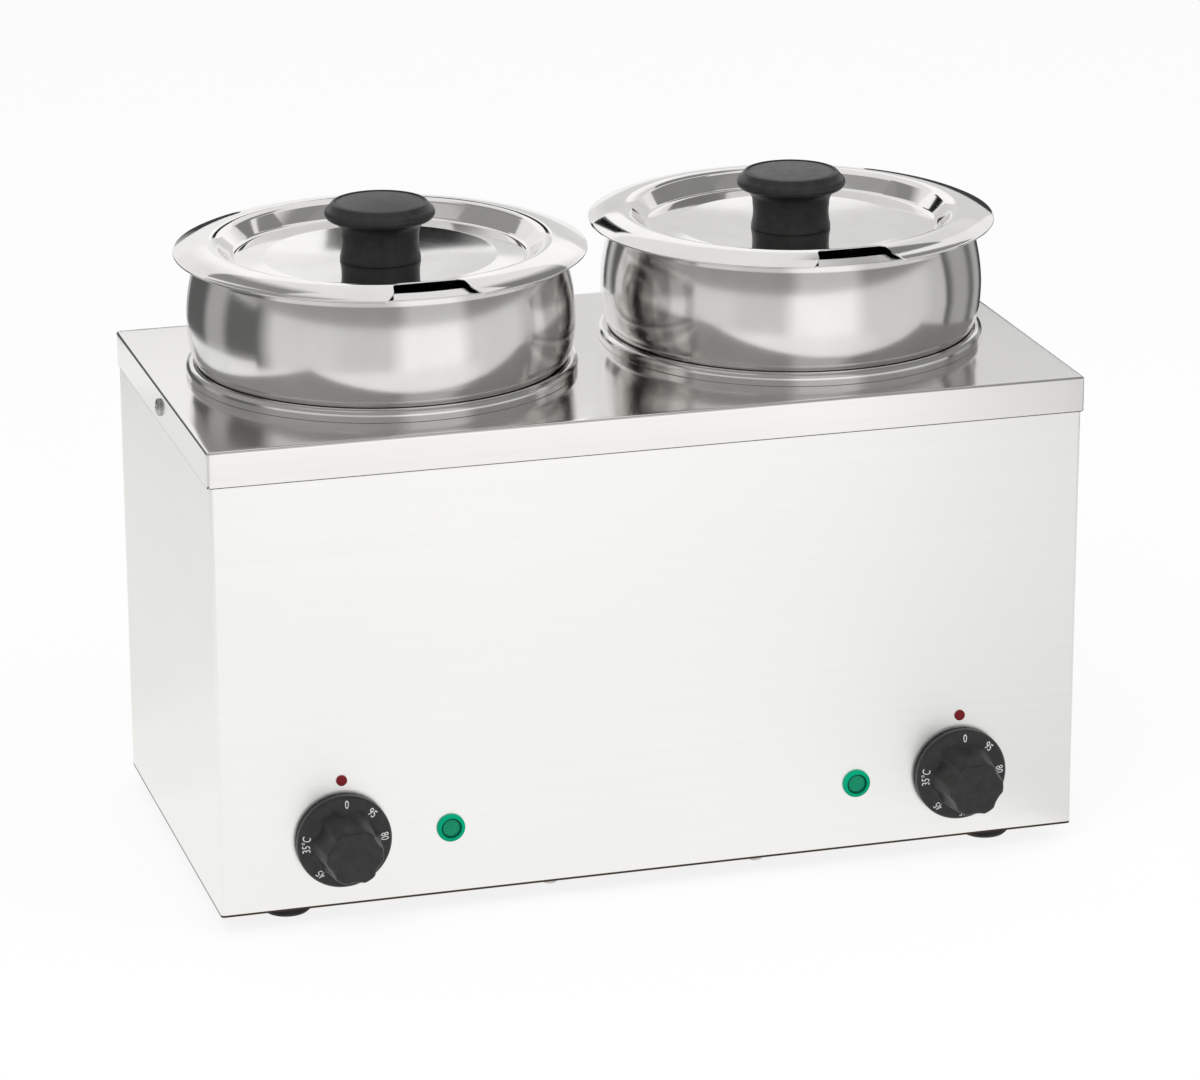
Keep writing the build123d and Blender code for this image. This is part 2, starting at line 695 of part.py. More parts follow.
def lamp_body(side):
    """Lamp holder behind the front, with two spade terminals."""
    x, start = side * lamp_x, dial_y + lamp_neck
    body = rod(lamp_neck_r, (x, start, lamp_up), (x, start + lamp_barrel, lamp_up))
    body += rod(lamp_neck_r + lamp_catch, (x, start, lamp_up), (x, start + lamp_catch_len, lamp_up))
    for step in (-lamp_tab_step, lamp_tab_step):
        body += block((x + step - tab_t / 2, start + lamp_barrel - 1, lamp_up - tab_w / 2),
                      (x + step + tab_t / 2, start + lamp_barrel + tab_len, lamp_up + tab_w / 2))
    return body


def marker(side):
    """Red plug above the dial that its figures are read against."""
    x = side * dial_x
    head = rod(marker_r, (x, dial_y - marker_h, marker_up), (x, dial_y, marker_up))
    head = chamfer(head.edges().sort_by(Axis.Y)[0], marker_edge)
    return head + rod(marker_stem_r, (x, dial_y - marker_h / 2, marker_up),
                      (x, panel_in + marker_tail, marker_up))


def pot_section(inset):
    """Half section of the pot below its flange, drawn in from the outside by the inset."""
    r, floor, corner = pot_r - inset, pot_under + inset, pot_corner - inset
    bend = (r - corner * (1 - cos(pi / 4)), floor + corner * (1 - sin(pi / 4)))
    cone = (top_z + cone_rise + cone_offset - inset, top_z + cone_rise)
    crease, barrel = ((a[0] - inset, top_z + a[1]) for a in (pot_crease, pot_barrel))
    belly = (pot_belly_r - inset, top_z + pot_belly_z)
    shoulder = (pot_shoulder[0] - inset, top_z + pot_shoulder[1])
    neck = (pot_neck_r - inset, top_z + pot_neck_z)
    start = (r, pot_r - cone_offset)
    mouth = flange_top() + pot_flange_rise + inset
    return (Line((0, floor), (r - corner, floor))
            + ThreePointArc((r - corner, floor), bend, (r, floor + corner))
            + Polyline((r, floor + corner), start, cone, crease)
            + ThreePointArc(crease, barrel, belly)
            + ThreePointArc(belly, shoulder, neck)
            + Polyline(neck, (neck[0], mouth), (0, mouth), (0, floor)))


def flange_top():
    """Height of the pot's flange where it ends, just under the lid's brim."""
    share = (lid_r - pot_flange_r) / (lid_r - lid_brim[0])
    under = lid_edge_z + share * (lid_brim[1] - lid_edge_z)
    return top_z + under - lid_t - seat_gap


def pot(side):
    """Lift-out pot: sloping flange, neck, belly, seating cone and the cylinder that hangs in the well."""
    x, low = side * well_x, flange_top()
    high, throat = low + pot_flange_rise, pot_neck_r - pot_t
    body = turned(pot_section(0.0), x, well_y)
    body += turned(Polyline((throat, high - pot_t), (throat, high), (pot_neck_r, high), (pot_flange_r, low),
                            (pot_flange_r, low - pot_t), (pot_neck_r, high - pot_t), close=True), x, well_y)
    return body - turned(pot_section(pot_t), x, well_y)


def lid_notch():
    """Cutter for the spoon notch, at the rim and facing the front: its sides flare towards the rim."""
    far, flare = lid_r + 5, -(lid_r - notch_flare)
    half = [(notch_in_w / 2, -notch_in_r), (notch_mid_w / 2, flare), (notch_rim_w / 2, -lid_r),
            (notch_rim_w / 2, -far)]
    plan = make_face(Polyline(*half, *((-x, y) for x, y in reversed(half)), close=True))
    plan = fillet(plan.vertices().group_by(Axis.Y)[-1], notch_corner)
    waist = plan.vertices().filter_by_position(Axis.Y, flare - notch_edge, flare + notch_edge)
    plan = fillet(waist, notch_flare_r)
    return Rot(0, 0, lid_turn) * Pos(0, 0, top_z + lid_floor_z) * extrude(plan, 30)


def lid(side):
    """Pressed lid: recessed floor, step, rounded crest and brim, turned-down lip and a spoon notch."""
    (low_r, low_z), (high_r, high_z) = lid_step
    start, seat = (grip_screw_r + panel_fit, lid_floor_z), (grip_base_r + lid_seat_margin, lid_floor_z)
    edge = (lid_floor_r, lid_floor_z + lid_dish)
    ease = ((lid_floor_r + low_r) / 2 + lid_ease, (edge[1] + low_z) / 2 - lid_ease)
    roll = ((high_r + lid_crest[0]) / 2 - lid_roll, (high_z + lid_crest[1]) / 2 + lid_roll)
    above = (Line(start, seat) + Line(seat, edge) + ThreePointArc(edge, ease, (low_r, low_z))
             + Line((low_r, low_z), (high_r, high_z))
             + ThreePointArc((high_r, high_z), roll, lid_crest)
             + ThreePointArc(lid_crest, lid_brim, (lid_r, lid_edge_z)))
    section = (above + Pos(0, -lid_t) * above + Line(start, (start[0], start[1] - lid_t))
               + Line((lid_r, lid_edge_z), (lid_r, lid_edge_z - lid_t)))
    body = revolve(Plane.XZ * make_face(section), Axis.Z)
    body += turned(ring(lid_r - lid_t, lid_r, lid_edge_z - lid_lip, lid_edge_z))
    return Pos(side * well_x, well_y, 0) * (Pos(0, 0, top_z) * body - lid_notch())


def lid_knob(side):
    """Black knob of the lid: waisted stem under a wide cap with a ring groove in its top."""
    low = top_z + lid_floor_z
    top = low + grip_h
    inner = grip_screw_r + contact_gap
    foot_edge = (grip_base_r, low + grip_foot)
    waist = (grip_waist_r, low + grip_waist_z)
    neck = (grip_neck_r, low + grip_neck_z)
    under = (grip_under_r, low + grip_cap_low)
    rim = (grip_rim_r, top - grip_rim_down)
    outline = (Polyline((inner, low), (grip_base_r, low), foot_edge)
               + ThreePointArc(foot_edge, waist, neck) + Line(neck, under)
               + ThreePointArc(under, (grip_cap_r, low + grip_cap_mid), rim)
               + Polyline(rim, (grip_disc_r + grip_groove, top - grip_rim_down - grip_groove),
                          (grip_disc_r, top - grip_groove), (grip_disc_r - grip_groove, top), (0, top),
                          (0, low + grip_screw_depth), (inner, low + grip_screw_depth), (inner, low)))
    return turned(outline, side * well_x, well_y)


def lid_screw(side):
    """Flange-head screw from below the lid into its knob."""
    under = top_z + lid_floor_z - lid_t
    tip = top_z + lid_floor_z + grip_screw_depth - seat_gap
    outline = Polyline((0, under - grip_head_h), (grip_head_r * 0.6, under - grip_head_h),
                       (grip_head_r * 0.6, under - 1), (grip_head_r, under - 1), (grip_head_r, under),
                       (grip_screw_r, under), (grip_screw_r, tip), (0, tip), close=True)
    return turned(outline, side * well_x, well_y)


def cable_gland():
    """Gland in the rear panel for the supply cord, open right through."""
    y, z = casing_rear + sheet_t, foot_h + gland_z
    body = extrude(Plane(origin=(gland_x, y, z), z_dir=(0, 1, 0)) * RegularPolygon(gland_r, 6), gland_collar)
    body += rod(gland_cap_r, (gland_x, y + gland_collar, z), (gland_x, rear_y + gland_reach, z))
    body += rod(gland_neck_r, (gland_x, casing_rear - gland_tail, z), (gland_x, y, z))
    return body - rod(gland_bore, (gland_x, casing_rear - gland_tail - 1, z),
                      (gland_x, rear_y + gland_reach + 1, z))


def gland_nut():
    """Lock nut of the gland, inside the rear panel."""
    place = (gland_x, casing_rear, foot_h + gland_z)
    return hexagon_nut(gland_neck_r + panel_fit, gland_nut_w, gland_nut_h, place, (0, -1, 0))


def terminal_block():
    """Four-way terminal block on the base plate."""
    wide, deep, half = terminal[0] / 2, terminal[1] / 2, terminal_pole / 2
    body = block((terminal_x - wide, terminal_y - deep, base_top),
                 (terminal_x + wide, terminal_y + deep, base_top + terminal_base))
    for x in pole_places():
        body += block((x - half, terminal_y - deep, base_top), (x + half, terminal_y + deep, terminal_top))
        body -= rod(terminal_bore, (x, terminal_y, terminal_top - terminal_bore_h),
                    (x, terminal_y, terminal_top + 1))
    for x, screw_y in terminal_screw_places():
        body -= rod(screw_r + panel_fit, (x, screw_y, base_top - 1), (x, screw_y, terminal_top))
    return body


def pole_places():
    """Poles of the terminal block: live and neutral of the left side, neutral and live of the right."""
    return [terminal_x + step * terminal_pitch for step in (-1.5, -0.5, 0.5, 1.5)]


def terminal_screws():
    """Screws that hold the terminal block down."""
    length = terminal_base + terminal_screw_tail
    return group(pan_screw((x, y, base_top + terminal_base), (0, 0, -1), length, head=terminal_screw_in)
                 for x, y in terminal_screw_places())


def earth_stud():
    """Earthing stud with its nut, welded to the base plate beside the gland."""
    x, y = gland_x + earth_x, terminal_y
    stud = rod(earth_r, (x, y, base_top), (x, y, base_top + earth_h))
    place = (x, y, base_top + earth_nut_up)
    return stud + hexagon_nut(earth_r - contact_gap, earth_nut_w, earth_nut_h, place, (0, 0, 1))


def wiring(side):
    """Four insulated wires of one side: supply, thermostat to cut-out, cut-out to heater, and return."""
    poles = pole_places()
    live, neutral = (poles[0], poles[1]) if side < 0 else (poles[3], poles[2])
    pole_z = terminal_top - terminal_bore_h + seat_gap
    tab_y, tab_z, run_z = panel_in + thermostat[1] + tab_len, dial_up - tab_drop, base_top + wire_run
    outer_x, inner_x = side * (dial_x + tab_step), side * (dial_x - tab_step)
    near, far = sorted(element_leg_places(side), key=lambda place: side * place[0])
    leg_z = floor_under - contact_gap - element_tube_r - element_leg - element_pin
    cut_y, cut_z = well_y - cutout_back, clamp_under - cutout_h - tab_len
    cut_out, cut_in = (side * (well_x + way * cutout_tab_step) for way in (1, -1))
    routes = [
        [(live, terminal_y, pole_z), (live, terminal_y, run_z), (outer_x, tab_y + 2 * wire_step, run_z),
         (outer_x, tab_y + wire_step, tab_z), (outer_x, tab_y, tab_z)],
        [(inner_x, tab_y, tab_z), (inner_x, tab_y + wire_step, tab_z), (cut_out, cut_y, cut_z - wire_drop),
         (cut_out, cut_y, cut_z)],
        [(cut_in, cut_y, cut_z), (cut_in, cut_y, cut_z - wire_step), (*far, leg_z - wire_drop),
         (*far, leg_z)],
        [(*near, leg_z), (*near, leg_z - wire_step), (neutral, terminal_y, terminal_top + wire_step),
         (neutral, terminal_y, pole_z)],
    ]
    return group(bent_tube(route, wire_r, wire_bend) for route in routes)


PER_SIDE = {
    "well": well, "heating_element": heating_element, "clamp_plate": clamp_plate, "clamp_stud": clamp_stud,
    "clamp_nut": clamp_nut, "overheat_cutout": cutout, "thermostat": thermostat_body,
    "capillary": capillary,
    "bulb_clip": bulb_clip, "control_shaft": shaft, "control_knob": knob, "pilot_lens": lamp_lens,
    "pilot_lamp": lamp_body, "dial_marker": marker, "pot": pot, "lid": lid, "lid_knob": lid_knob,
    "lid_screw": lid_screw, "wiring": wiring,
}
SINGLE = {
    "casing": casing, "top_cover": top_cover, "rear_panel": rear_panel, "base_plate": base_plate,
    "foot_screws": foot_screws, "foot_nuts": foot_nuts, "cover_screws": cover_screws,
    "rear_screws": rear_screws, "base_screws": base_screws,
    "well_brackets": well_brackets, "thermostat_screws": thermostat_screws,
    "cable_gland": cable_gland, "gland_nut": gland_nut, "terminal_block": terminal_block,
    "terminal_screws": terminal_screws, "earth_stud": earth_stud,
}


def nodes():
    """Every piece, by node name."""
    made = {name: make() for name, make in SINGLE.items()}
    made.update({name: foot(x, y) for name, (x, y) in foot_places().items()})
    for name, make in PER_SIDE.items():
        made.update({f"{name}_{hand}": make(side) for hand, side in SIDES.items()})
    return made


os.makedirs("parts", exist_ok=True)
for node, shape in nodes().items():
    export_step(shape, f"parts/{node}.step")
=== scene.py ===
"""Bain marie with two lift-out pots: its visible surfaces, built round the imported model.

Sizes are in millimetres, as in the part's source, and become metres when a mesh is made; only the
studio's are in metres. +X is to the right of someone standing in front, +Y away from them, +Z up.
"""
from __future__ import annotations

import json
import logging
from dataclasses import dataclass, field
from enum import Enum
from typing import Protocol, Sequence, Union

import bmesh
import bpy
import numpy as np
from mathutils import Matrix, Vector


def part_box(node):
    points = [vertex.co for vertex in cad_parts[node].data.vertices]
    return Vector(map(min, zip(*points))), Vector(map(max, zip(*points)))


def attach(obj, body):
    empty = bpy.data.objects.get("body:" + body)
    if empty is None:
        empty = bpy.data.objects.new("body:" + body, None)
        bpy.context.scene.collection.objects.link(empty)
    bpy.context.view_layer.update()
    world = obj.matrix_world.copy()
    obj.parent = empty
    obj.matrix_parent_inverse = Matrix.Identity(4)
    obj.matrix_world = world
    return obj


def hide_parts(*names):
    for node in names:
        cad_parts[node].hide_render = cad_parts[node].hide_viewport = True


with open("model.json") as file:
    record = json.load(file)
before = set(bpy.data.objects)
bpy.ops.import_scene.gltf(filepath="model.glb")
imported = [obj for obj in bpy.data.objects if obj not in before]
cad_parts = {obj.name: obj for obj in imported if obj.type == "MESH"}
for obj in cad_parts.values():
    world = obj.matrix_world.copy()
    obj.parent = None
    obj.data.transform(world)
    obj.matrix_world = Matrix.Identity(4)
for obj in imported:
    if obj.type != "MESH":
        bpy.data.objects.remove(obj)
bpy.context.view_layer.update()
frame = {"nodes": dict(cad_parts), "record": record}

LOG = logging.getLogger("bain_marie")
MM = 0.001
WHITE = (1.0, 1.0, 1.0, 1.0)
Array = np.ndarray
Pair, Triple = tuple[float, float], tuple[float, float, float]
Material, Socket = bpy.types.Material, bpy.types.NodeSocket
Finishes = dict[str, Material]
Value = Union[float, Sequence[float], Socket]

# Roundings: an arc reaches at most this share of a side, the point that keeps a flat flat stands this
# many reaches from the corner, and a corner wider open than this many degrees stays as it is.
SIDE_SHARE, FLAT_AHEAD, NEARLY_STRAIGHT = 0.42, 1.15, 176.0

# Points closer than this, in metres, are welded: in shells, and in the letters of the dials.
SHELL_WELD, LETTER_WELD = 2e-6, 1e-6

# Letters: the font size at which a figure is one unit high, half their thickness, and steps per curve.
LETTER_SIZE, LETTER_THICK, LETTER_STEPS = 1.38, 0.01, 6


class Hand(Enum):
    """Which side of the machine, seen from the front."""

    LEFT = -1
    RIGHT = 1

    def of(self, base: str) -> str:
        """Name of this side's node, body or piece."""
        return f"{base}_{self.name.lower()}"


class Axis(Enum):
    """Direction that a turned piece faces: the local height runs along it."""

    UP = "up"
    FRONT = "front"
    LEFT = "left"
    RIGHT = "right"


def corners(node: str) -> tuple[Array, Array]:
    """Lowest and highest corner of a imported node.

    Args:
        node: the node's name.

    Returns:
        Both corners in millimetres.
    """
    low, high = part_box(node)
    return np.array(low) / MM, np.array(high) / MM


def front_mount(node: str) -> tuple[Array, float]:
    """Where a piece on the front starts, and how far it comes forward.

    Args:
        node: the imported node's name.

    Returns:
        The middle of its rear face, and its length along Y.
    """
    low, high = corners(node)
    middle = (low + high) / 2
    return np.array([middle[0], high[1], middle[2]]), float(high[1] - low[1])


def polar(radius: Array | float, angle: Array, height: Array | float) -> Array:
    """Points (radius x cos angle, radius x sin angle, height), as the last axis of a grid."""
    return np.stack(np.broadcast_arrays(radius * np.cos(angle), radius * np.sin(angle), height), -1)


def soften(points: Sequence[Sequence[float]], radii: float | Sequence[float], steps: int = 6) -> Array:
    """Rounds the corners of an open outline.

    Each corner becomes an arc that touches both of its sides; the arc's radius is cut where a side is
    too short. A point a little way along each side keeps the flats next to the arc flat in shading.

    Args:
        points: the outline's corners, as (radius, height).
        radii: one rounding for all the corners, or one each.
        steps: faces along each arc.

    Returns:
        The rounded outline.
    """
    outline = np.asarray(points, float)
    wanted = np.broadcast_to(np.asarray(radii, float), len(outline))
    share = np.linspace(0.0, 1.0, steps + 1)[:, None]
    made = [outline[:1]]
    for before, here, after, radius in zip(outline[:-2], outline[1:-1], outline[2:], wanted[1:-1]):
        back, ahead = before - here, after - here
        sizes = np.linalg.norm(back), np.linalg.norm(ahead)
        back, ahead = back / sizes[0], ahead / sizes[1]
        angle = np.arccos(np.clip(back @ ahead, -1.0, 1.0))
        if radius <= 0.0 or angle > np.radians(NEARLY_STRAIGHT):
            made.append(here[None])
            continue
        reach = min(radius / np.tan(angle / 2), SIDE_SHARE * min(sizes))
        radius, sweep = reach * np.tan(angle / 2), np.pi - angle
        centre = here + (back + ahead) / np.linalg.norm(back + ahead) * radius / np.sin(angle / 2)
        first, last = here + back * reach - centre, here + ahead * reach - centre
        arc = centre + (np.sin((1 - share) * sweep) * first + np.sin(share * sweep) * last) / np.sin(sweep)
        made += [(here + back * reach * FLAT_AHEAD)[None], arc, (here + ahead * reach * FLAT_AHEAD)[None]]
    return np.concatenate([*made, outline[-1:]])


def arc_through(start: Sequence[float], middle: Sequence[float], end: Sequence[float],
                steps: int = 24) -> Array:
    """Arc from start to end through a middle point.

    The centre is where the bisectors of the two chords meet; the points are spaced by equal angles.

    Args:
        start: first point.
        middle: any point between.
        end: last point.
        steps: faces along the arc.

    Returns:
        The arc's points, both ends included.
    """
    a, b, c = (np.asarray(p, float) for p in (start, middle, end))
    sides = 2 * np.array([b - a, c - a])
    centre = np.linalg.solve(sides, np.array([b @ b - a @ a, c @ c - a @ a]))
    turns = np.unwrap([np.arctan2(*(p - centre)[::-1]) for p in (a, b, c)])
    angles = np.linspace(turns[0], turns[2], steps + 1)
    return centre + np.linalg.norm(a - centre) * np.stack([np.cos(angles), np.sin(angles)], -1)


def turned(outline: Array, place: Sequence[float], axis: Axis = Axis.UP, columns: int = 160) -> Array:
    """Surface of revolution.

    A point (r, h) of the outline at angle t goes to (r cos t, r sin t) across the axis and h along it.

    Args:
        outline: points as (radius, height).
        place: where the axis starts, as x, y and z.
        axis: the direction that the height runs in.
        columns: faces round the axis.

    Returns:
        A grid of rows x columns x 3 points, to be closed round.
    """
    angle = np.linspace(0.0, 2 * np.pi, columns, endpoint=False)
    return stood(polar(outline[:, :1], angle, outline[:, 1:2]), place, axis)


def stood(local: Array, place: Sequence[float], axis: Axis) -> Array:
    """Turns points whose height is the last coordinate to face along an axis, and moves them there.

    Args:
        local: the points.
        place: where their origin goes, as x, y and z.
        axis: the direction that the height runs in.

    Returns:
        The points in the machine's frame.
    """
    u, v, h = local[..., 0], local[..., 1], local[..., 2]
    faced = {Axis.UP: (u, v, h), Axis.FRONT: (u, -h, v), Axis.LEFT: (-h, u, v), Axis.RIGHT: (h, u, v)}[axis]
    return np.stack(faced, -1) + np.asarray(place, float)


@dataclass
class Shell:
    """Grids of points that are welded into one closed piece."""

    points: list[Array] = field(default_factory=list)
    faces: list[Array] = field(default_factory=list)
    charts: list[Array] = field(default_factory=list)
    inks: list[Array] = field(default_factory=list)
    count: int = 0

    def add(self, grid: Array, closed: bool = True, ink: int = 0) -> Shell:
        """Adds a surface of rows x columns x 3 points.

        Point (i, j) joins its neighbours in the next row and column. The chart's u is the share of the way
        along a row, and its v the mean distance across the rows, in decimetres.

        Args:
            grid: the points.
            closed: whether the last column joins the first.
            ink: which of the piece's materials it takes.

        Returns:
            The shell itself.
        """
        rows, columns = grid.shape[:2]
        wide = columns if closed else columns - 1
        i, j = np.meshgrid(np.arange(rows - 1), np.arange(wide), indexing="ij")
        after = (j + 1) % columns
        here, ahead = i * columns, (i + 1) * columns
        ring = np.stack([here + j, here + after, ahead + after, ahead + j], -1)
        across = np.linalg.norm(np.diff(grid, axis=0), axis=-1).mean(axis=1)
        v = np.concatenate([[0.0], np.cumsum(across)]) / 100.0
        u = np.arange(wide + 1) / wide
        chart = np.stack([np.stack([u[j], v[i]], -1), np.stack([u[j + 1], v[i]], -1),
                          np.stack([u[j + 1], v[i + 1]], -1), np.stack([u[j], v[i + 1]], -1)], -2)
        self.points.append(grid.reshape(-1, 3))
        self.faces.append(ring.reshape(-1, 4) + self.count)
        self.charts.append(chart.reshape(-1, 2))
        self.inks.append(np.full(ring.shape[0] * ring.shape[1], ink))
        self.count += rows * columns
        return self

    def mesh(self, name: str, crease: float = 32.0) -> bpy.types.Mesh:
        """Makes the mesh, in metres.

        Args:
            name: the mesh's name.
            crease: edges that turn by more than this many degrees stay sharp.

        Returns:
            The mesh, welded, with its faces outwards.
        """
        made = bpy.data.meshes.new(name)
        made.from_pydata(np.concatenate(self.points) * MM, [], np.concatenate(self.faces))
        chart = np.concatenate(self.charts).astype(np.float32).ravel()
        made.uv_layers.new(name="Chart").data.foreach_set("uv", chart)
        made.polygons.foreach_set("material_index", np.concatenate(self.inks).astype(np.int32))
        weld(made, SHELL_WELD)
        made.shade_smooth()
        made.set_sharp_from_angle(angle=float(np.radians(crease)))
        return made


def weld(mesh: bpy.types.Mesh, reach: float) -> None:
    """Joins points that lie together, and turns the faces outwards.

    Args:
        mesh: the mesh to clean.
        reach: points closer than this, in metres, are joined.
    """
    work = bmesh.new()
    work.from_mesh(mesh)
    bmesh.ops.remove_doubles(work, verts=work.verts, dist=reach)
    bmesh.ops.recalc_face_normals(work, faces=work.faces)
    work.to_mesh(mesh)
    work.free()


def enter(name: str, data: bpy.types.ID) -> bpy.types.Object:
    """Makes an object and puts it in the scene.

    Args:
        name: the object's name.
        data: its mesh, letters, lamp or camera.

    Returns:
        The object.
    """
    made = bpy.data.objects.new(name, data)
    bpy.context.scene.collection.objects.link(made)
    return made


def place_piece(mesh: bpy.types.Mesh, materials: Sequence[Material], body: str, slot: str,
                *nodes: str) -> bpy.types.Object:
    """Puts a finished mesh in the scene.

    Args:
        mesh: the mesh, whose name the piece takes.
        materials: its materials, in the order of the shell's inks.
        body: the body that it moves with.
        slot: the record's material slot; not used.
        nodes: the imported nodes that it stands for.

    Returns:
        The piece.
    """
    for material in materials:
        mesh.materials.append(material)
    piece = enter(mesh.name, mesh)
    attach(piece, body)
    if nodes:
        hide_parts(*nodes)
    LOG.info("%s: %d faces on %s", piece.name, len(mesh.polygons), body)
    return piece


def place_turned(name: str, outline: Array, place: Sequence[float], finish: Material, body: str, slot: str,
                 node: str, axis: Axis = Axis.UP, columns: int = 160) -> None:
    """Makes a turned piece from its closed outline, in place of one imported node.

    Args:
        name: the piece's name.
        outline: points as (radius, height).
        place: where the axis starts, as x, y and z.
        finish: its one material.
        body: the body that it moves with.
        slot: the record's material slot.
        node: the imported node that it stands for.
        axis: the direction that the height runs in.
        columns: faces round the axis.
    """
    grid = turned(outline, place, axis, columns)
    place_piece(Shell().add(grid).mesh(name), [finish], body, slot, node)


class Recipe:
    """A material's node tree, put together step by step."""

    def __init__(self, name: str) -> None:
        """Starts a material with one principled shader.

        Args:
            name: the material's name.
        """
        self.material = bpy.data.materials.new(name)
        self.material.use_nodes = True
        self.tree = self.material.node_tree
        self.tree.nodes.clear()
        self.shader = self.node("ShaderNodeBsdfPrincipled")
        self.node("ShaderNodeOutputMaterial", {"Surface": self.shader.outputs["BSDF"]})

    def node(self, kind: str, inputs: dict[str | int, Value] | None = None,
             **settings: object) -> bpy.types.Node:
        """Adds a node.

        Args:
            kind: its type.
            inputs: a number, colour or socket for each input, by name or place.
            settings: the node's own properties.

        Returns:
            The node.
        """
        made = self.tree.nodes.new(kind)
        for name, value in settings.items():
            setattr(made, name, value)
        for name, value in (inputs or {}).items():
            self.put(made.inputs[name], value)
        return made

    def put(self, socket: Socket, value: Value) -> None:
        """Links a node's input to a socket, or gives it a number or colour."""
        if isinstance(value, Socket):
            self.tree.links.new(value, socket)
        else:
            socket.default_value = value

    def feed(self, **inputs: Value) -> None:
        """Sets or links inputs of the shader; an underscore in a name stands for a space."""
        for name, value in inputs.items():
            self.put(self.shader.inputs[name.replace("_", " ")], value)

    def spread(self, scale: Sequence[float], chart: bool = False) -> Socket:
        """Coordinates, stretched: the object's own in metres, or the piece's chart."""
        source = self.node("ShaderNodeTexCoord").outputs["UV" if chart else "Object"]
        return self.node("ShaderNodeMapping", {"Vector": source, "Scale": tuple(scale)}).outputs["Vector"]

    def noise(self, vector: Socket, detail: float = 2.0, rough: float = 0.5) -> Socket:
        """Cloudy pattern, about one unit across, from 0 to 1."""
        return self.node("ShaderNodeTexNoise", {"Vector": vector, "Scale": 1.0, "Detail": detail,
                                                "Roughness": rough}).outputs["Fac"]

    def span(self, value: Socket, low: float, high: float, start: float = 0.3, end: float = 0.7) -> Socket:
        """Carries values between start and end to values between low and high."""
        limits = {"From Min": start, "From Max": end, "To Min": low, "To Max": high}
        return self.node("ShaderNodeMapRange", {"Value": value, **limits}).outputs["Result"]

    def tinted(self, share: Socket, first: Sequence[float], second: Sequence[float]) -> Socket:
        """Mixes two colours."""
        return self.node("ShaderNodeMix", {0: share, 6: (*first, 1.0), 7: (*second, 1.0)},
                         data_type="RGBA").outputs[2]

    def relief(self, height: Socket, depth: float) -> Socket:
        """Normal of a relief whose depth is in millimetres."""
        return self.node("ShaderNodeBump", {"Height": height, "Strength": 1.0,
                                            "Distance": depth * MM}).outputs["Normal"]


# Painted shade: the dark brown of the shadowed fold under the housing's lowest edge, and how softly it
# begins.
FOLD_SHADE_COLOUR = (0.055, 0.040, 0.032)
FOLD_SHADE_BLUR = 0.0001


@dataclass(frozen=True)
class BrushedSheet:
    """Stainless sheet with grain lines that run level round the housing."""

    name: str
    light: Triple
    dark: Triple
    rough: Pair
    grain: Triple
    depth: float
    stretch: float = 0.0
    # Height in metres below which the sheet is painted dark with shade, or 0 for none.
    painted_foot_shade: float = 0.0

    def tone(self, recipe: Recipe, share: Socket) -> Socket:
        """Colour of the sheet, with painted shade as a dark line along its lowest edge, where the fold under
        it is in shadow, if it has one.

        Args:
            recipe: the material being built.
            share: pattern that runs from the dark tone at 0 to the light one at 1.

        Returns:
            The colour, which is the painted shade's dark brown below the height where the shade starts.
        """
        sheet = recipe.tinted(share, self.dark, self.light)
        if not self.painted_foot_shade:
            return sheet
        # Painted shade: below the foot height the sheet takes the dark fold colour.
        level = recipe.node("ShaderNodeSeparateXYZ", {"Vector": recipe.spread((1.0, 1.0, 1.0))}).outputs["Z"]
        above = recipe.span(level, 0.0, 1.0, self.painted_foot_shade - FOLD_SHADE_BLUR, self.painted_foot_shade + FOLD_SHADE_BLUR)
        return recipe.node("ShaderNodeMix", {0: above, 6: (*FOLD_SHADE_COLOUR, 1.0), 7: sheet},
                           data_type="RGBA").outputs[2]

    def material(self) -> Material:
        """Builds the material: fine grain over long faint streaks and broad clouds.

        Returns:
            The material.
        """
        recipe = Recipe(self.name)
        grain = recipe.noise(recipe.spread(self.grain), 3.0, 0.6)
        streaks = recipe.noise(recipe.spread([size * 0.14 for size in self.grain]), 2.0)
        clouds = recipe.noise(recipe.spread((7.0, 7.0, 9.0)), 2.0)
        both = recipe.node("ShaderNodeMath", {0: streaks, 1: clouds}, operation="MULTIPLY").outputs[0]
        recipe.feed(Base_Color=self.tone(recipe, recipe.span(both, 0.0, 1.0, 0.15, 0.38)),
                    Metallic=1.0, Roughness=recipe.span(grain, *self.rough),
                    Normal=recipe.relief(grain, self.depth))
        if self.stretch:
            tangent = recipe.node("ShaderNodeTangent", direction_type="RADIAL", axis="Z").outputs[0]
            recipe.feed(Anisotropic=self.stretch, Anisotropic_Rotation=0.25, Tangent=tangent)
        return recipe.material


@dataclass(frozen=True)
class SpunSteel:
    """Polished steel whose fine marks run round a turned piece."""

    name: str
    light: Triple
    dark: Triple
    rough: Pair
    stretch: float
    depth: float
    wave: float = 0.02

    def material(self) -> Material:
        """Builds the material: rings along the chart, with soft clouds and a slight hand-polished wave.

        Returns:
            The material.
        """
        recipe = Recipe(self.name)
        rings = recipe.noise(recipe.spread((3.0, 260.0, 1.0), chart=True), 3.0, 0.6)
        clouds = recipe.noise(recipe.spread((45.0, 45.0, 30.0)), 3.0, 0.55)
        wave = recipe.noise(recipe.spread((26.0, 26.0, 18.0)), 1.0)
        height = recipe.node("ShaderNodeMath", {0: wave, 1: self.wave / max(self.depth, 1e-6), 2: rings},
                             operation="MULTIPLY_ADD").outputs[0]
        tangent = recipe.node("ShaderNodeTangent", direction_type="UV_MAP", uv_map="Chart").outputs[0]
        recipe.feed(Base_Color=recipe.tinted(recipe.span(clouds, 0.0, 1.0), self.dark, self.light),
                    Metallic=1.0, Roughness=recipe.span(rings, *self.rough),
                    Normal=recipe.relief(height, self.depth), Anisotropic=self.stretch,
                    Anisotropic_Rotation=0.25, Tangent=tangent)
        return recipe.material


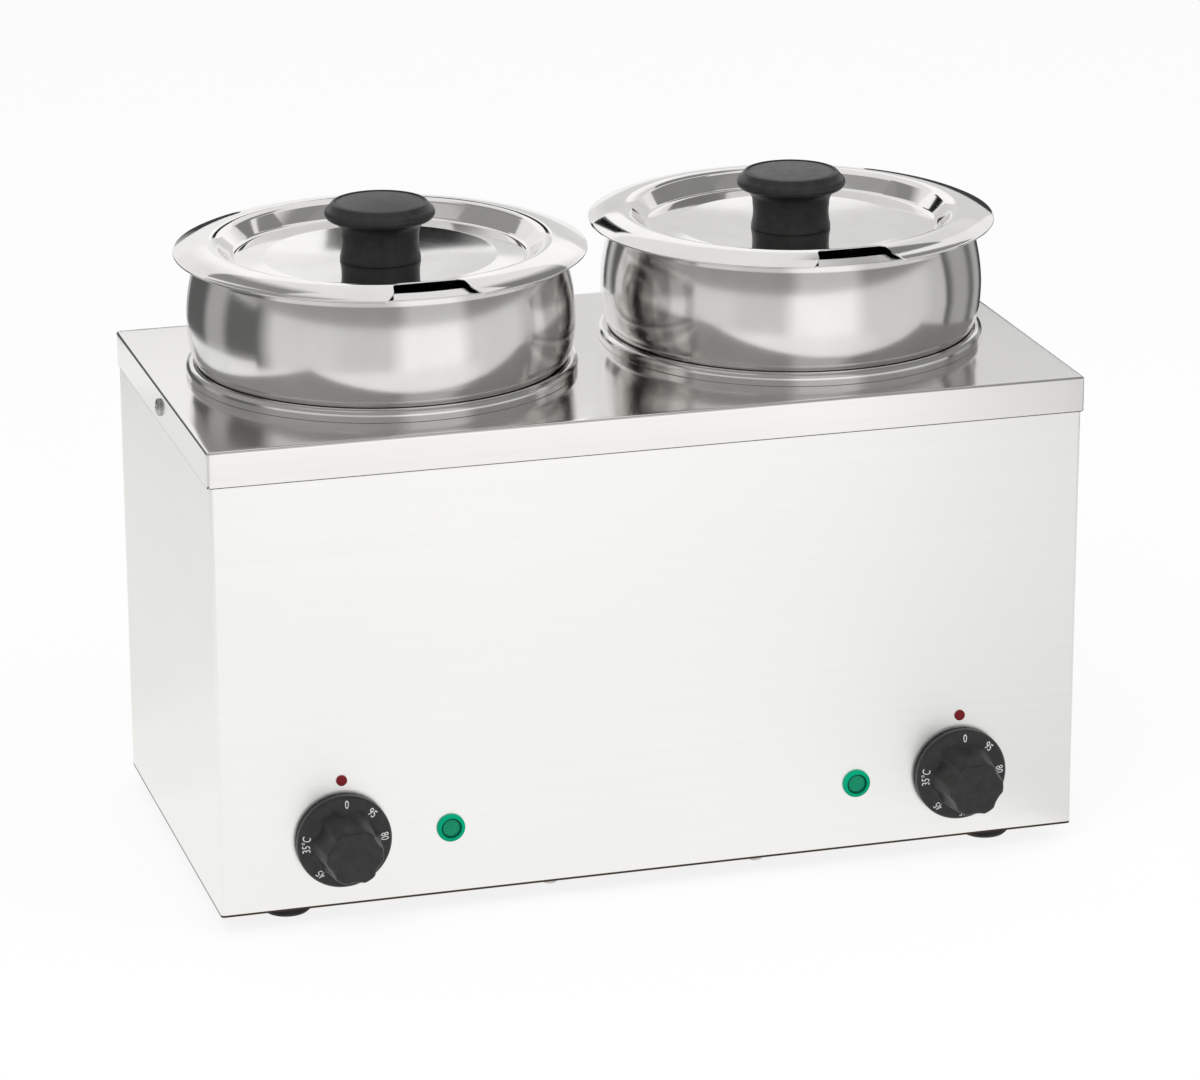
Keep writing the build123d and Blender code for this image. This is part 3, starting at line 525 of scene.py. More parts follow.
@dataclass(frozen=True)
class Moulded:
    """Moulded plastic or rubber with a fine eroded grain."""

    name: str
    colour: Triple
    speck: Triple
    rough: Pair
    grain: float
    depth: float
    shine: float = 0.4

    def material(self) -> Material:
        """Builds the material: grain in relief, and clouds of a second colour with their own gloss.

        Returns:
            The material.
        """
        recipe = Recipe(self.name)
        grain = recipe.noise(recipe.spread([self.grain] * 3), 4.0, 0.65)
        clouds = recipe.noise(recipe.spread([self.grain * 0.09] * 3), 3.0, 0.6)
        recipe.feed(Base_Color=recipe.tinted(recipe.span(clouds, 0.0, 1.0), self.colour, self.speck),
                    Roughness=recipe.span(clouds, *self.rough), Normal=recipe.relief(grain, self.depth),
                    Specular_IOR_Level=self.shine)
        return recipe.material


@dataclass(frozen=True)
class BareMetal:
    """Plain drawn, cast or plated metal with mottled oxide."""

    name: str
    light: Triple
    dark: Triple
    rough: Pair
    grain: float
    depth: float

    def material(self) -> Material:
        """Builds the material: mottled colour and gloss, with a fine relief.

        Returns:
            The material.
        """
        recipe = Recipe(self.name)
        mottle = recipe.noise(recipe.spread([self.grain] * 3), 4.0, 0.6)
        fine = recipe.noise(recipe.spread([self.grain * 7] * 3), 3.0)
        recipe.feed(Base_Color=recipe.tinted(recipe.span(mottle, 0.0, 1.0), self.dark, self.light),
                    Metallic=1.0, Roughness=recipe.span(mottle, *self.rough),
                    Normal=recipe.relief(fine, self.depth))
        return recipe.material


FINISHES = {
    # The satin sheet's last number is the height, in metres, below which painted shade darkens its bottom
    # edge.
    "satin_steel": BrushedSheet("satin_sheet", (0.90, 0.895, 0.875), (0.885, 0.88, 0.86), (0.28, 0.33),
                                (9.0, 9.0, 2300.0), 0.0012, 0.35, 0.0112),
    "cover_steel": BrushedSheet("bright_sheet", (0.83, 0.82, 0.805), (0.81, 0.80, 0.785), (0.12, 0.16),
                                (11.0, 1900.0, 1900.0), 0.0006),
    # Dark brown of the skirt's bottom edge: partly the sheet's cut edge, and partly painted shade of the seam
    # under the skirt.
    "cut_edge_seam_shade": BareMetal("cut_edge_seam_shade", (0.20, 0.15, 0.12), (0.10, 0.07, 0.055), (0.45, 0.6), 500.0, 0.004),
    "polished_steel": SpunSteel("spun_steel", (0.77, 0.76, 0.745), (0.73, 0.72, 0.705), (0.12, 0.17),
                                0.5, 0.0015),
    "lid": SpunSteel("lid_steel", (0.80, 0.79, 0.775), (0.74, 0.73, 0.715), (0.05, 0.09), 0.4, 0.001),
    "black_plastic": Moulded("matt_black", (0.020, 0.020, 0.020), (0.034, 0.034, 0.033), (0.34, 0.44),
                             1900.0, 0.012, shine=0.28),
    "ink": Moulded("figure_ink", (0.90, 0.90, 0.88), (0.80, 0.80, 0.78), (0.4, 0.55), 2400.0, 0.01),
    "foot_rubber": Moulded("foot_rubber", (0.012, 0.012, 0.012), (0.022, 0.021, 0.020), (0.6, 0.75),
                           1200.0, 0.04),
    "fastener_steel": BareMetal("plated_screw", (0.60, 0.59, 0.57), (0.36, 0.35, 0.34), (0.24, 0.4),
                                420.0, 0.006),
    "green_lens": Moulded("green_lens", (0.0, 0.44, 0.23), (0.0, 0.38, 0.20), (0.3, 0.4), 900.0, 0.01,
                          shine=0.06),
    "lens_window": Moulded("lens_window", (0.0, 0.17, 0.09), (0.0, 0.44, 0.22), (0.12, 0.2), 14000.0, 0.05,
                           shine=0.2),
    # Painted shade: a darker green for the groove round the lens window, where shade falls.
    "lens_groove_shade": Moulded("lens_groove_shade", (0.0, 0.10, 0.055), (0.0, 0.14, 0.075), (0.3, 0.4), 2600.0, 0.01,
                           shine=0.1),
    "red_plastic": Moulded("red_plug", (0.23, 0.016, 0.022), (0.15, 0.010, 0.014), (0.3, 0.4), 1500.0, 0.02,
                           shine=0.12),
    "holder_plastic": Moulded("holder_grey", (0.045, 0.045, 0.048), (0.07, 0.07, 0.072), (0.4, 0.55),
                              900.0, 0.02),
    "clamp_aluminium": BareMetal("rolled_aluminium", (0.80, 0.80, 0.79), (0.62, 0.62, 0.61), (0.3, 0.45),
                                 150.0, 0.01),
    "capillary_copper": BareMetal("drawn_copper", (0.80, 0.42, 0.26), (0.52, 0.24, 0.14), (0.25, 0.4),
                                  300.0, 0.005),
    "heater_sheath": BareMetal("heater_sheath", (0.30, 0.28, 0.25), (0.14, 0.13, 0.12), (0.4, 0.6),
                               220.0, 0.01),
    "wire_insulation": Moulded("glass_sleeve", (0.55, 0.50, 0.42), (0.42, 0.37, 0.30), (0.6, 0.8),
                               1400.0, 0.06),
}


@dataclass
class TopCover:
    """Tray-shaped cover: flat top with a hole for each well, rounded folds, and a skirt on four sides."""

    sheet: float = 1.0
    fold: float = 1.6
    hole_r: float = 102.3
    relief_h: float = 1.5
    relief_up: float = 6.0
    seam: float = 0.22
    seam_wide: float = 0.05
    seam_end: float = 2.2
    cut: float = 0.6
    edge: int = 28
    turns: int = 10

    def cell(self, hand: Hand, height: float) -> Array:
        """Half of the flat: lines from the round hole to the straight sides round it.

        Point (i, j) lies at share i of the way from the circle to the border, along border point j.

        Args:
            hand: which half.
            height: the flat's height.

        Returns:
            The grid, closed round the hole.
        """
        border = self.border_of(hand)
        centre = well_axis(hand)
        away = border - centre
        circle = centre + away / np.linalg.norm(away, axis=1, keepdims=True) * self.hole_r
        share = np.array([0.0, 0.04, 0.2, 0.4, 0.6, 0.8, 0.93, 1.0])[:, None, None]
        flat = (1 - share) * circle + share * border
        return np.concatenate([flat, np.full((*flat.shape[:2], 1), height)], -1)

    def border_of(self, hand: Hand) -> Array:
        """Corners and sides of one half's flat.

        Args:
            hand: which half.

        Returns:
            Points in x and y, going round it.
        """
        low, high = self.inner()
        outer = low[0] if hand is Hand.LEFT else high[0]
        share = np.linspace(0.0, 1.0, self.edge, endpoint=False)[:, None]
        ring = np.array([(outer, low[1]), (0.0, low[1]), (0.0, high[1]), (outer, high[1])])
        return np.concatenate([a + share * (b - a) for a, b in zip(ring, np.roll(ring, -1, axis=0))])

    def inner(self) -> tuple[Array, Array]:
        """Corners of the flat, inside the folds, in x and y."""
        low, high = corners("top_cover")
        return low[:2] + self.fold, high[:2] - self.fold

    def rim(self) -> tuple[Array, Array]:
        """Path round the flat, with the outward direction at each point.

        Returns:
            The points and their unit directions; at a corner the point stays and the direction turns.
        """
        low, high = self.inner()
        along_x = np.concatenate([np.linspace(low[0], 0.0, self.edge, endpoint=False),
                                  np.linspace(0.0, high[0], self.edge + 1)])
        along_y = np.linspace(low[1], high[1], self.edge + 1)
        sides = [np.stack([along_x, np.full_like(along_x, low[1])], -1),
                 np.stack([np.full_like(along_y, high[0]), along_y], -1),
                 np.stack([along_x[::-1], np.full_like(along_x, high[1])], -1),
                 np.stack([np.full_like(along_y, low[0]), along_y[::-1]], -1)]
        points, turns = [], []
        for number, side in enumerate(sides):
            first = (number - 1) * np.pi / 2
            corner = np.repeat(side[-1:], self.turns - 1, axis=0)
            points += [side, corner]
            turns += [np.full(len(side), first), first + np.linspace(0, np.pi / 2, self.turns + 1)[1:-1]]
        angle = np.concatenate(turns)
        return np.concatenate(points), np.stack([np.cos(angle), np.sin(angle)], -1)

    def build(self, materials: Finishes) -> None:
        """Makes the cover: both flats, the holes' edges, and the folds and skirt carried round the rim.

        In a corner the outward direction turns by a, and |sin 2a| is 1 at its middle. There the skirt's
        edge rises by relief_h times the square of it, and the seam is a groove as deep as
        seam exp(-x^2), where x is (|sin 2a| - 1) / seam_wide.

        Args:
            materials: every finish, by name.
        """
        low, high = corners("top_cover")
        top, bottom = high[2], low[2]
        points, outward = self.rim()
        turning = np.abs(outward[:, 0] * outward[:, 1]) * 2
        bend = np.linspace(0, np.pi / 2, 9)
        outer = np.stack([self.fold * np.sin(bend), top - self.fold * (1 - np.cos(bend))], -1)
        thin = self.fold - self.sheet
        inner = np.stack([thin * np.sin(bend), top - self.sheet - thin * (1 - np.cos(bend))], -1)[::-1]
        skirt = soften([(self.fold, top - self.fold), (self.fold, bottom + self.cut),
                        (self.fold - 0.25, bottom), (thin, bottom), (thin, top - self.fold)],
                       [0, 0.1, 0.1, 0.15, 0], 2)[1:-1]
        section = np.concatenate([outer, [(self.fold, top - self.fold - 0.4)], skirt, inner])
        reach, height = section[:, :1], section[:, 1:2]
        low_share = np.clip((bottom + self.relief_up - height) / self.relief_up, 0, 1)
        lift = self.relief_h * low_share * turning ** 2
        groove = self.seam * np.exp(-((turning - 1.0) / self.seam_wide) ** 2) * (height < top - self.seam_end)
        ring = points[None] + (reach - groove)[..., None] * outward[None]
        walls = np.concatenate([ring, (height + lift)[..., None]], -1)
        below = np.flatnonzero(section[:, 1] < bottom + self.cut)
        shell = Shell().add(walls[:below[0] + 1])
        # The skirt's bottom chamfer and underside take the cut-edge colour, darkened as painted shade of the
        # seam below the skirt.
        shell.add(walls[below[0]:below[-1] + 1], ink=1)
        shell.add(walls[below[-1]:])
        for hand in Hand:
            above, below = self.cell(hand, top), self.cell(hand, top - self.sheet)
            shell.add(above).add(below)
            shell.add(np.stack([above[0], below[0]]))
        place_piece(shell.mesh("cover_tray"), [materials["cover_steel"], materials["cut_edge_seam_shade"]], "housing",
                    "cover_steel", "top_cover")


def well_axis(hand: Hand) -> Array:
    """Axis of a well, in x and y, from the stud under its floor."""
    low, high = corners(hand.of("clamp_stud"))
    return (low + high)[:2] / 2


def well_mouth(hand: Hand) -> Array:
    """Middle of a well's mouth, level with the cover's top."""
    return np.array([*well_axis(hand), corners("top_cover")[1][2]])


@dataclass
class Well:
    """Round water well with a rolled rim that stands on the cover as a collar."""

    hand: Hand
    bore: float = 101.0
    sheet: float = 0.8
    floor: float = -165.0
    corner: float = 12.0
    bead_out: float = 108.0
    bead_h: float = 7.0
    lift: float = 0.05
    columns: int = 200

    def section(self) -> Array:
        """Half section from the floor's top, up over the rolled rim, and back to the floor's underside.

        Returns:
            Points as (radius, height).
        """
        round_r = (self.bead_out - self.bore) / 2
        mid, crown = self.bore + round_r, self.bead_h - round_r
        out, hem = self.bore + self.sheet, self.bead_out - self.sheet
        inside = soften([(0, self.floor), (self.bore, self.floor), (self.bore, crown - 1.0)],
                        self.corner - self.sheet, 10)
        over = arc_through((self.bore, crown), (mid, self.bead_h), (self.bead_out, crown), 20)
        foot = soften([(self.bead_out, crown - 0.4), (self.bead_out, self.lift), (hem, self.lift),
                       (hem, crown - 0.4)], 0.25, 3)
        under = arc_through((hem, crown), (mid, crown + round_r - self.sheet), (out, crown), 14)
        under_z = self.floor - self.sheet
        outside = soften([(out, crown - 1.0), (out, under_z), (0, under_z)], self.corner, 10)
        return np.concatenate([inside, over, foot, under, outside])

    def build(self, materials: Finishes) -> None:
        """Makes the well and its collar."""
        place_turned(self.hand.of("water_well"), self.section(), well_mouth(self.hand),
                     materials["polished_steel"], "housing", "polished_steel", self.hand.of("well"),
                     columns=self.columns)


@dataclass
class Pot:
    """Lift-out pot: straight lower part, seating cone, bellied upper part, neck and sloping flange."""

    hand: Hand
    hang_r: float = 97.0
    underside: float = -140.0
    corner: float = 16.0
    cone_low: float = 1.37
    cone_top: Pair = (102.63, 7.0)
    crease: Pair = (105.6, 14.0)
    barrel: Pair = (106.7, 23.0)
    belly: Pair = (107.0, 33.0)
    shoulder: Pair = (105.4, 47.5)
    neck: Pair = (101.6, 62.5)
    flange_r: float = 111.0
    flange_top: float = 68.24
    flange_rise: float = 1.6
    sheet: float = 0.8
    columns: int = 216

    def wall(self, inset: float) -> Array:
        """Half section from the floor's middle to the neck, drawn in by the inset.

        Args:
            inset: distance inwards from the outside.

        Returns:
            Points as (radius, height over the cover).
        """
        floor, side = self.underside + inset, self.hang_r - inset
        low = soften([(0, floor), (side, floor), (side, self.cone_low),
                      (self.cone_top[0] - inset, self.cone_top[1]), (self.crease[0] - inset, self.crease[1])],
                     [0, self.corner - inset, 2.5, 5.0, 0], 10)
        crease, barrel, belly, shoulder, neck = (
            (r - inset, z) for r, z in (self.crease, self.barrel, self.belly, self.shoulder, self.neck))
        return np.concatenate([low, arc_through(crease, barrel, belly, 18)[1:],
                               arc_through(belly, shoulder, neck, 26)[1:]])

    def build(self, materials: Finishes) -> None:
        """Makes the pot, with its flange rounded at the rim.

        Args:
            materials: every finish, by name.
        """
        throat, low = self.neck[0] - self.sheet, self.flange_top
        high = low + self.flange_rise
        flange = soften([self.neck, (self.neck[0], high - self.sheet), (self.flange_r, low - self.sheet),
                         (self.flange_r, low), (throat, high), (throat, self.neck[1])],
                        [0, 1.6, 0.35, 0.35, 1.3, 0], 5)
        section = np.concatenate([self.wall(0.0), flange[1:-1], self.wall(self.sheet)[::-1]])
        place_turned(self.hand.of("food_pot"), section, well_mouth(self.hand), materials["polished_steel"],
                     self.hand.of("pot"), "polished_steel", self.hand.of("pot"), columns=self.columns)


@dataclass
class Lid:
    """Pressed lid: dished floor, step, crest and sloping brim with a turned-down lip and a spoon notch."""

    hand: Hand
    bore: float = 2.65
    sheet: float = 0.8
    seat: Pair = (24.2, 62.0)
    disc: Pair = (64.0, 64.0)
    floor: Pair = (79.0, 63.6)
    step_foot: Pair = (82.5, 65.0)
    step_head: Pair = (88.6, 71.0)
    crest: Pair = (95.0, 73.2)
    brim: Pair = (105.0, 71.7)
    rim: Pair = (113.4, 68.4)
    ease: float = 0.3
    roll: float = 0.5
    lip: float = 1.0
    lip_in: float = 0.35
    lip_fade: float = 0.02
    tab: float = 0.5
    tab_wide: float = 0.012
    whole_r: float = 90.0
    turn: float = 1.5
    notch_in: Pair = (19.0, 94.5)
    notch_mid: Pair = (21.3, 105.4)
    notch_out: Pair = (26.07, 110.36)
    notch_rounds: Triple = (1.4, 8.0, 5.0)
    notch_lead: float = 0.03
    notch_flat: float = 0.6
    columns: int = 200

    def profile(self) -> Array:
        """Height of the top face against the radius, from the knob's screw to the rim.

        Returns:
            Points as (radius, height over the cover).
        """
        ease = np.add(self.floor, self.step_foot) / 2 + [self.ease, -self.ease]
        roll = np.add(self.step_head, self.crest) / 2 + [-self.roll, self.roll]
        seat = soften([(self.bore, self.seat[1]), self.seat, self.disc, self.floor], [0, 30.0, 12.0, 0], 4)
        wall = soften([self.step_foot, self.step_head], 0)
        return np.concatenate([seat, arc_through(self.floor, ease, self.step_foot, 10)[1:], wall[1:],
                               arc_through(self.step_head, roll, self.crest, 14)[1:],
                               arc_through(self.crest, self.brim, self.rim, 30)[1:]])

    def outline(self) -> tuple[Array, Array]:
        """Edge of the lid seen from above: the rim's circle, broken by the notch with rounded corners.

        Returns:
            The angle from the front and the radius, for each point round the edge.
        """
        in_x, in_y = self.notch_in
        start = np.arctan2(*self.notch_out) + self.notch_lead
        lead = (self.rim[0] * np.sin(start), self.rim[0] * np.cos(start))
        side = [lead, self.notch_out, self.notch_mid, self.notch_in]
        rounds = [0, *self.notch_rounds, *self.notch_rounds[::-1], 0]
        notch = soften([(-x, y) for x, y in side] + side[::-1], rounds, 9)
        chord = np.linspace(-self.notch_flat, self.notch_flat, 9)[:, None] * [in_x, 0] + [0, in_y]
        half = len(notch) // 2
        notch = np.concatenate([notch[:half], chord, notch[half:]])
        angle = np.arctan2(notch[:, 0], notch[:, 1])
        circle = np.linspace(start, 2 * np.pi - start, self.columns)[1:-1]
        far = np.full(len(circle), self.rim[0])
        return np.concatenate([angle, circle]), np.concatenate([np.hypot(*notch.T), far])

    def build(self, materials: Finishes) -> None:
        """Makes the lid: the profile turned, cut short at the notch, with the lip outside it.

        Inside whole_r every section is the same; outside it each is drawn in to the edge. The lip hangs
        down round the rim, fades out at the notch, and ends there in a small tab, a bump of exp(-x^2).

        Args:
            materials: every finish, by name.
        """
        angle, edge = self.outline()
        profile = self.profile()
        common = profile[profile[:, 0] <= self.whole_r]
        share = np.linspace(0.0, 1.0, 34)[1:, None]
        last = common[-1, 0]
        reach = np.concatenate([np.repeat(common[:, :1], len(angle), axis=1),
                                last + share * (edge[None] - self.lip_in - last)])
        height = np.interp(reach, profile[:, 0], profile[:, 1])
        away = np.abs((angle + np.pi) % (2 * np.pi) - np.pi) - np.arctan2(*self.notch_out)
        outside = np.clip(away / self.lip_fade + 0.5, 0, 1)
        tab = self.tab * np.exp(-((away - self.tab_wide) / self.tab_wide) ** 2)
        drop = self.sheet + (self.lip - self.sheet) * outside + tab
        end = height[-1]
        lip_r = np.stack([edge - 0.1, edge, edge, edge - 0.25, edge - 0.55, edge - 0.8, edge - 0.8])
        low = end - drop
        lip_z = np.stack([end - 0.08, end - 0.35, low + 0.25, low, low, low + 0.25, end - self.sheet * 0.95])
        under = reach[::-1]
        radius = np.concatenate([reach, lip_r, under[1:]])
        level = np.concatenate([height, lip_z, height[::-1][1:] - self.sheet])
        turn = angle[None] + np.radians(self.turn) - np.pi / 2
        grid = polar(radius, turn, level)
        grid = np.concatenate([grid, grid[:1]]) + well_mouth(self.hand)
        mesh = Shell().add(grid).mesh(self.hand.of("pressed_lid"), 40.0)
        place_piece(mesh, [materials["lid"]], self.hand.of("lid"), "polished_steel", self.hand.of("lid"))


@dataclass
class LidKnob:
    """Black knob: nearly straight stem, flared into a wide cap whose ring frames a slightly domed disc."""

    hand: Hand
    height: float = 32.4
    foot_r: float = 22.2
    waist: Pair = (21.2, 8.0)
    neck: Pair = (21.5, 13.5)
    flare: Pair = (23.1, 19.3)
    under: Pair = (28.3, 22.9)
    cap: Pair = (30.3, 25.6)
    shoulder: Pair = (28.4, 28.9)
    ring: Pair = (26.2, 31.7)
    disc_r: float = 24.6
    groove: float = 1.3
    bore: float = 2.55
    bore_depth: float = 16.0
    columns: int = 144

    def section(self) -> Array:
        """Half section from the screw's bore, out under the foot, up the waist and over the cap.

        Returns:
            Points as (radius, height).
        """
        seat = float(corners(self.hand.of("lid_knob"))[0][2])
        foot = soften([(0, self.bore_depth), (self.bore, self.bore_depth), (self.bore, 0),
                       (self.foot_r, 0), (self.foot_r, 1.5)], [0, 0, 0.3, 0.35, 0], 3)
        stem = arc_through((self.foot_r, 1.5), self.waist, self.neck, 18)
        flare = arc_through(self.neck, self.flare, self.under, 14)
        cap = arc_through(self.under, self.cap, self.shoulder, 16)
        disc, high = self.disc_r, self.height
        top = soften([self.shoulder, self.ring, (disc + 0.5, high - 0.25), (disc, high - self.groove),
                      (disc - 1.6, high - self.groove * 0.55), (disc * 0.5, high - 0.1), (0, high)],
                     [0, 1.6, 0.5, 0.35, 1.2, 30, 0], 6)
        return np.concatenate([foot, stem[1:], flare[1:-1], cap, top[1:]]) + [0.0, seat]

    def build(self, materials: Finishes) -> None:
        """Makes the knob."""
        place_turned(self.hand.of("lid_grip"), self.section(), (*well_axis(self.hand), 0.0),
                     materials["black_plastic"], self.hand.of("lid"), "black_plastic",
                     self.hand.of("lid_knob"), columns=self.columns)


@dataclass
class Dial:
    """Control knob: dial disc with white figures, and a grip with six scallops."""

    hand: Hand
    disc_r: float = 26.2
    skirt: float = 3.5
    slope: Pair = (25.2, 4.75)
    face: float = 6.0
    grip_r: float = 18.8
    lobes: int = 6
    scallop_r: float = 9.0
    scallop_at: float = 25.0
    wall: float = 2.4
    hollow: float = 3.4
    bore: Pair = (3.06, 15.3)
    edge: float = 2.2
    depth: float = 0.62
    taper: float = 0.17
    foot: Pair = (19.6, 5.85)
    flare: Pair = (0.9, 1.6)
    flare_depth: float = 0.45
    break_at: float = 0.62
    dish: float = 0.35
    sharp: float = 3.0
    figures: tuple[tuple[str, float], ...] = (("0", 3.0), ("95", 44.0), ("80", 86.0), ("65", 130.0),
                                              ("55", 178.0), ("45", -140.0), ("35°C", -87.0))
    figure_r: float = 21.9
    figure_h: float = 4.5
    figure_wide: float = 0.74
    ink_under: float = 0.02
    ink_thick: float = 0.06
    columns: int = 180

    def lobed(self, angle: Array, depth: float) -> Array:
        """Radius of the grip's outline.

        The least of a circle and the near side of the scallops' circles, with the corners between eased:
        -log(exp(-k a) + exp(-k b)) / k, where k is sharp, and a base is taken off both to keep exp small.

        Args:
            angle: from the top, in radians.
            depth: share of the scallops' full depth.

        Returns:
            The radius at each angle.
        """
        pitch = 2 * np.pi / self.lobes
        off = (angle + pitch / 2) % pitch - pitch / 2
        cosine, sine = np.cos(off), np.sin(off)
        inner = np.clip(self.scallop_r ** 2 - (self.scallop_at * sine) ** 2, 0.0, None)
        scallop = np.where(inner > 0, self.scallop_at * cosine - np.sqrt(inner), 40.0)
        scallop = self.grip_r + (scallop - self.grip_r) * depth
        base = 16
        both = np.exp(-self.sharp * (scallop - base)) + np.exp(-self.sharp * (self.grip_r - base))
        return -np.log(both) / self.sharp + base

    def build(self, materials: Finishes) -> None:
        """Makes the knob in one skin: bore, hollow back, skirt, sloping dial, scalloped grip and face.

        Each row of the skin is a radius at every angle and one height. The grip narrows with its height
        by the taper, and its face is a dish whose depth is the root of the share from the edge.

        Args:
            materials: every finish, by name.
        """
        place, reach = front_mount(self.hand.of("control_knob"))
        angle = np.linspace(0, 2 * np.pi, self.columns, endpoint=False)
        inside = self.disc_r - self.wall
        back = soften([(0, self.bore[1]), self.bore, (self.bore[0], self.hollow), (inside, self.hollow),
                       (inside, 0), (self.disc_r, 0), (self.disc_r, self.skirt), self.slope, self.foot],
                      [0, 0, 0.3, 0.6, 0.3, 0.4, 0.6, 0.8, 0], 4)
        rows = list(back)
        for turn in np.radians(np.linspace(90, 0, 6)):
            rise = 1 - np.sin(turn)
            outline = self.lobed(angle, self.depth * (self.flare_depth + (1 - self.flare_depth) * rise))
            rows.append((outline + self.flare[0] * np.sin(turn), self.face + self.flare[1] * rise))
        full = self.lobed(angle, self.depth)
        middle, brow = reach * self.break_at, reach - self.edge
        shrink = [1 - self.taper * (h - self.face) / (reach - self.face) for h in (middle, brow)]
        rows += [(full * shrink[0], middle), (full * (shrink[1] + 0.01), brow - 0.5)]
        full = full * shrink[1]
        rows += [(full - self.edge * (1 - np.cos(turn)), reach - self.edge * (1 - np.sin(turn)))
                 for turn in np.radians(np.linspace(0, 90, 9))]
        rows += [((full - self.edge) * share, reach - self.dish * (1 - share) ** 0.5)
                 for share in (0.97, 0.9, 0.7, 0.4, 0.0)]
        radius = np.array([np.broadcast_to(row[0], self.columns) for row in rows])
        height = np.array([np.full(self.columns, row[1]) for row in rows])
        local = polar(radius, angle, height)[..., [1, 0, 2]]
        shell = Shell().add(stood(local, place, Axis.FRONT))
        place_piece(shell.mesh(self.hand.of("dial_knob")), [materials["black_plastic"]],
                    self.hand.of("control"), "black_plastic", self.hand.of("control_knob"))
        self.print_figures(materials, place)

    def print_figures(self, materials: Finishes, place: Array) -> None:
        """Prints the figures: flat letters are bent round the dial and laid on its slope.

        A letter's x becomes an angle, x / figure_r, and its y a radius, figure_r + y; the height falls
        evenly with the radius, as the dial's slope does.

        Args:
            materials: every finish, by name.
            place: where the dial's back is, on its axis.
        """
        points, faces, count = [], [], 0
        for text, turn in self.figures:
            letters, cells = flat_text(text)
            flat = letters * np.array([self.figure_h * self.figure_wide, self.figure_h, 1.0])
            radius = self.figure_r + flat[:, 1]
            angle = np.radians(turn) + flat[:, 0] / self.figure_r
            fall = (self.face - self.slope[1]) / (self.slope[0] - self.grip_r)
            ink = self.ink_under + self.ink_thick * (flat[:, 2] > 0)
            height = self.face - fall * (radius - self.grip_r) + ink
            points.append(polar(radius, angle, height)[..., [1, 0, 2]])
            faces += [[count + vertex for vertex in face] for face in cells]
            count += len(letters)
        mesh = bpy.data.meshes.new(self.hand.of("dial_figures"))
        mesh.from_pydata(stood(np.concatenate(points), place, Axis.FRONT) * MM, [], faces)
        weld(mesh, LETTER_WELD)
        place_piece(mesh, [materials["ink"]], self.hand.of("control"), "black_plastic")


def flat_text(text: str) -> tuple[Array, list[list[int]]]:
    """Outline letters one unit high, centred, with a front and a back face.

    Args:
        text: the figures.

    Returns:
        The vertices, and the faces as lists of them.
    """
    curve = bpy.data.curves.new("letters", "FONT")
    curve.body, curve.align_x, curve.align_y = text, "CENTER", "CENTER"
    curve.size, curve.extrude, curve.resolution_u = LETTER_SIZE, LETTER_THICK, LETTER_STEPS
    holder = enter("letters", curve)
    bpy.context.view_layer.update()
    mesh = bpy.data.meshes.new_from_object(holder.evaluated_get(bpy.context.evaluated_depsgraph_get()))
    vertices = np.zeros(len(mesh.vertices) * 3)
    mesh.vertices.foreach_get("co", vertices)
    faces = [list(polygon.vertices) for polygon in mesh.polygons]
    bpy.data.objects.remove(holder)
    bpy.data.curves.remove(curve)
    bpy.data.meshes.remove(mesh)
    vertices = vertices.reshape(-1, 3)
    middle = (vertices.min(0) + vertices.max(0)) / 2
    return vertices - [middle[0], middle[1], 0.0], faces


@dataclass
class PilotLens:
    """Green lens of a pilot lamp: ring, sunk window with small facets, and a neck through the front."""

    hand: Hand
    ring_r: float = 7.8
    ring_h: float = 2.0
    window_r: float = 5.0
    window_drop: float = 1.1
    neck_r: float = 6.4
    neck: float = 4.0
    facet: float = 0.95
    facet_h: float = 0.28
    columns: int = 96

    def build(self, materials: Finishes) -> None:
        """Makes the lens. The window's facets are pyramids: |sin| of x times |sin| of z, in relief.

        Args:
            materials: every finish, by name.
        """
        place, _ = front_mount(self.hand.of("pilot_lens"))
        face, sunk = self.neck + self.ring_h, self.neck + self.ring_h - self.window_drop
        section = soften([(0, 0), (self.neck_r, 0), (self.neck_r, self.neck), (self.ring_r, self.neck),
                          (self.ring_r, face - 0.5), (self.ring_r - 1.1, face),
                          (self.window_r + 0.7, face - 0.05)], [0, 0.2, 0, 0.25, 0.6, 0.7, 0], 5)
        groove = soften([section[-1], (self.window_r + 0.3, sunk - 0.3), (self.window_r - 0.2, sunk - 0.3),
                         (self.window_r - 0.3, sunk)], [0, 0.2, 0.15, 0], 3)
        shell = Shell().add(turned(section, place, Axis.FRONT, self.columns))
        # The groove round the window takes a darker green as painted shade.
        shell.add(turned(groove, place, Axis.FRONT, self.columns), ink=2)
        share = np.linspace(1.0, 0.0, 26)[:, None]
        angle = np.linspace(0, 2 * np.pi, self.columns, endpoint=False)[None]
        radius = (self.window_r - 0.3) * share
        u, v = radius * np.cos(angle), radius * np.sin(angle)
        bumps = np.abs(np.sin(np.pi * u / self.facet)) * np.abs(np.sin(np.pi * v / self.facet))
        local = np.stack([u, v, sunk + self.facet_h * bumps * np.clip((1 - share) * 9, 0, 1)], -1)
        shell.add(stood(local, place, Axis.FRONT), ink=1)
        inks = [materials[name] for name in ("green_lens", "lens_window", "lens_groove_shade")]
        place_piece(shell.mesh(self.hand.of("lamp_lens"), 50.0), inks, "housing", "green_lens",
                    self.hand.of("pilot_lens"))


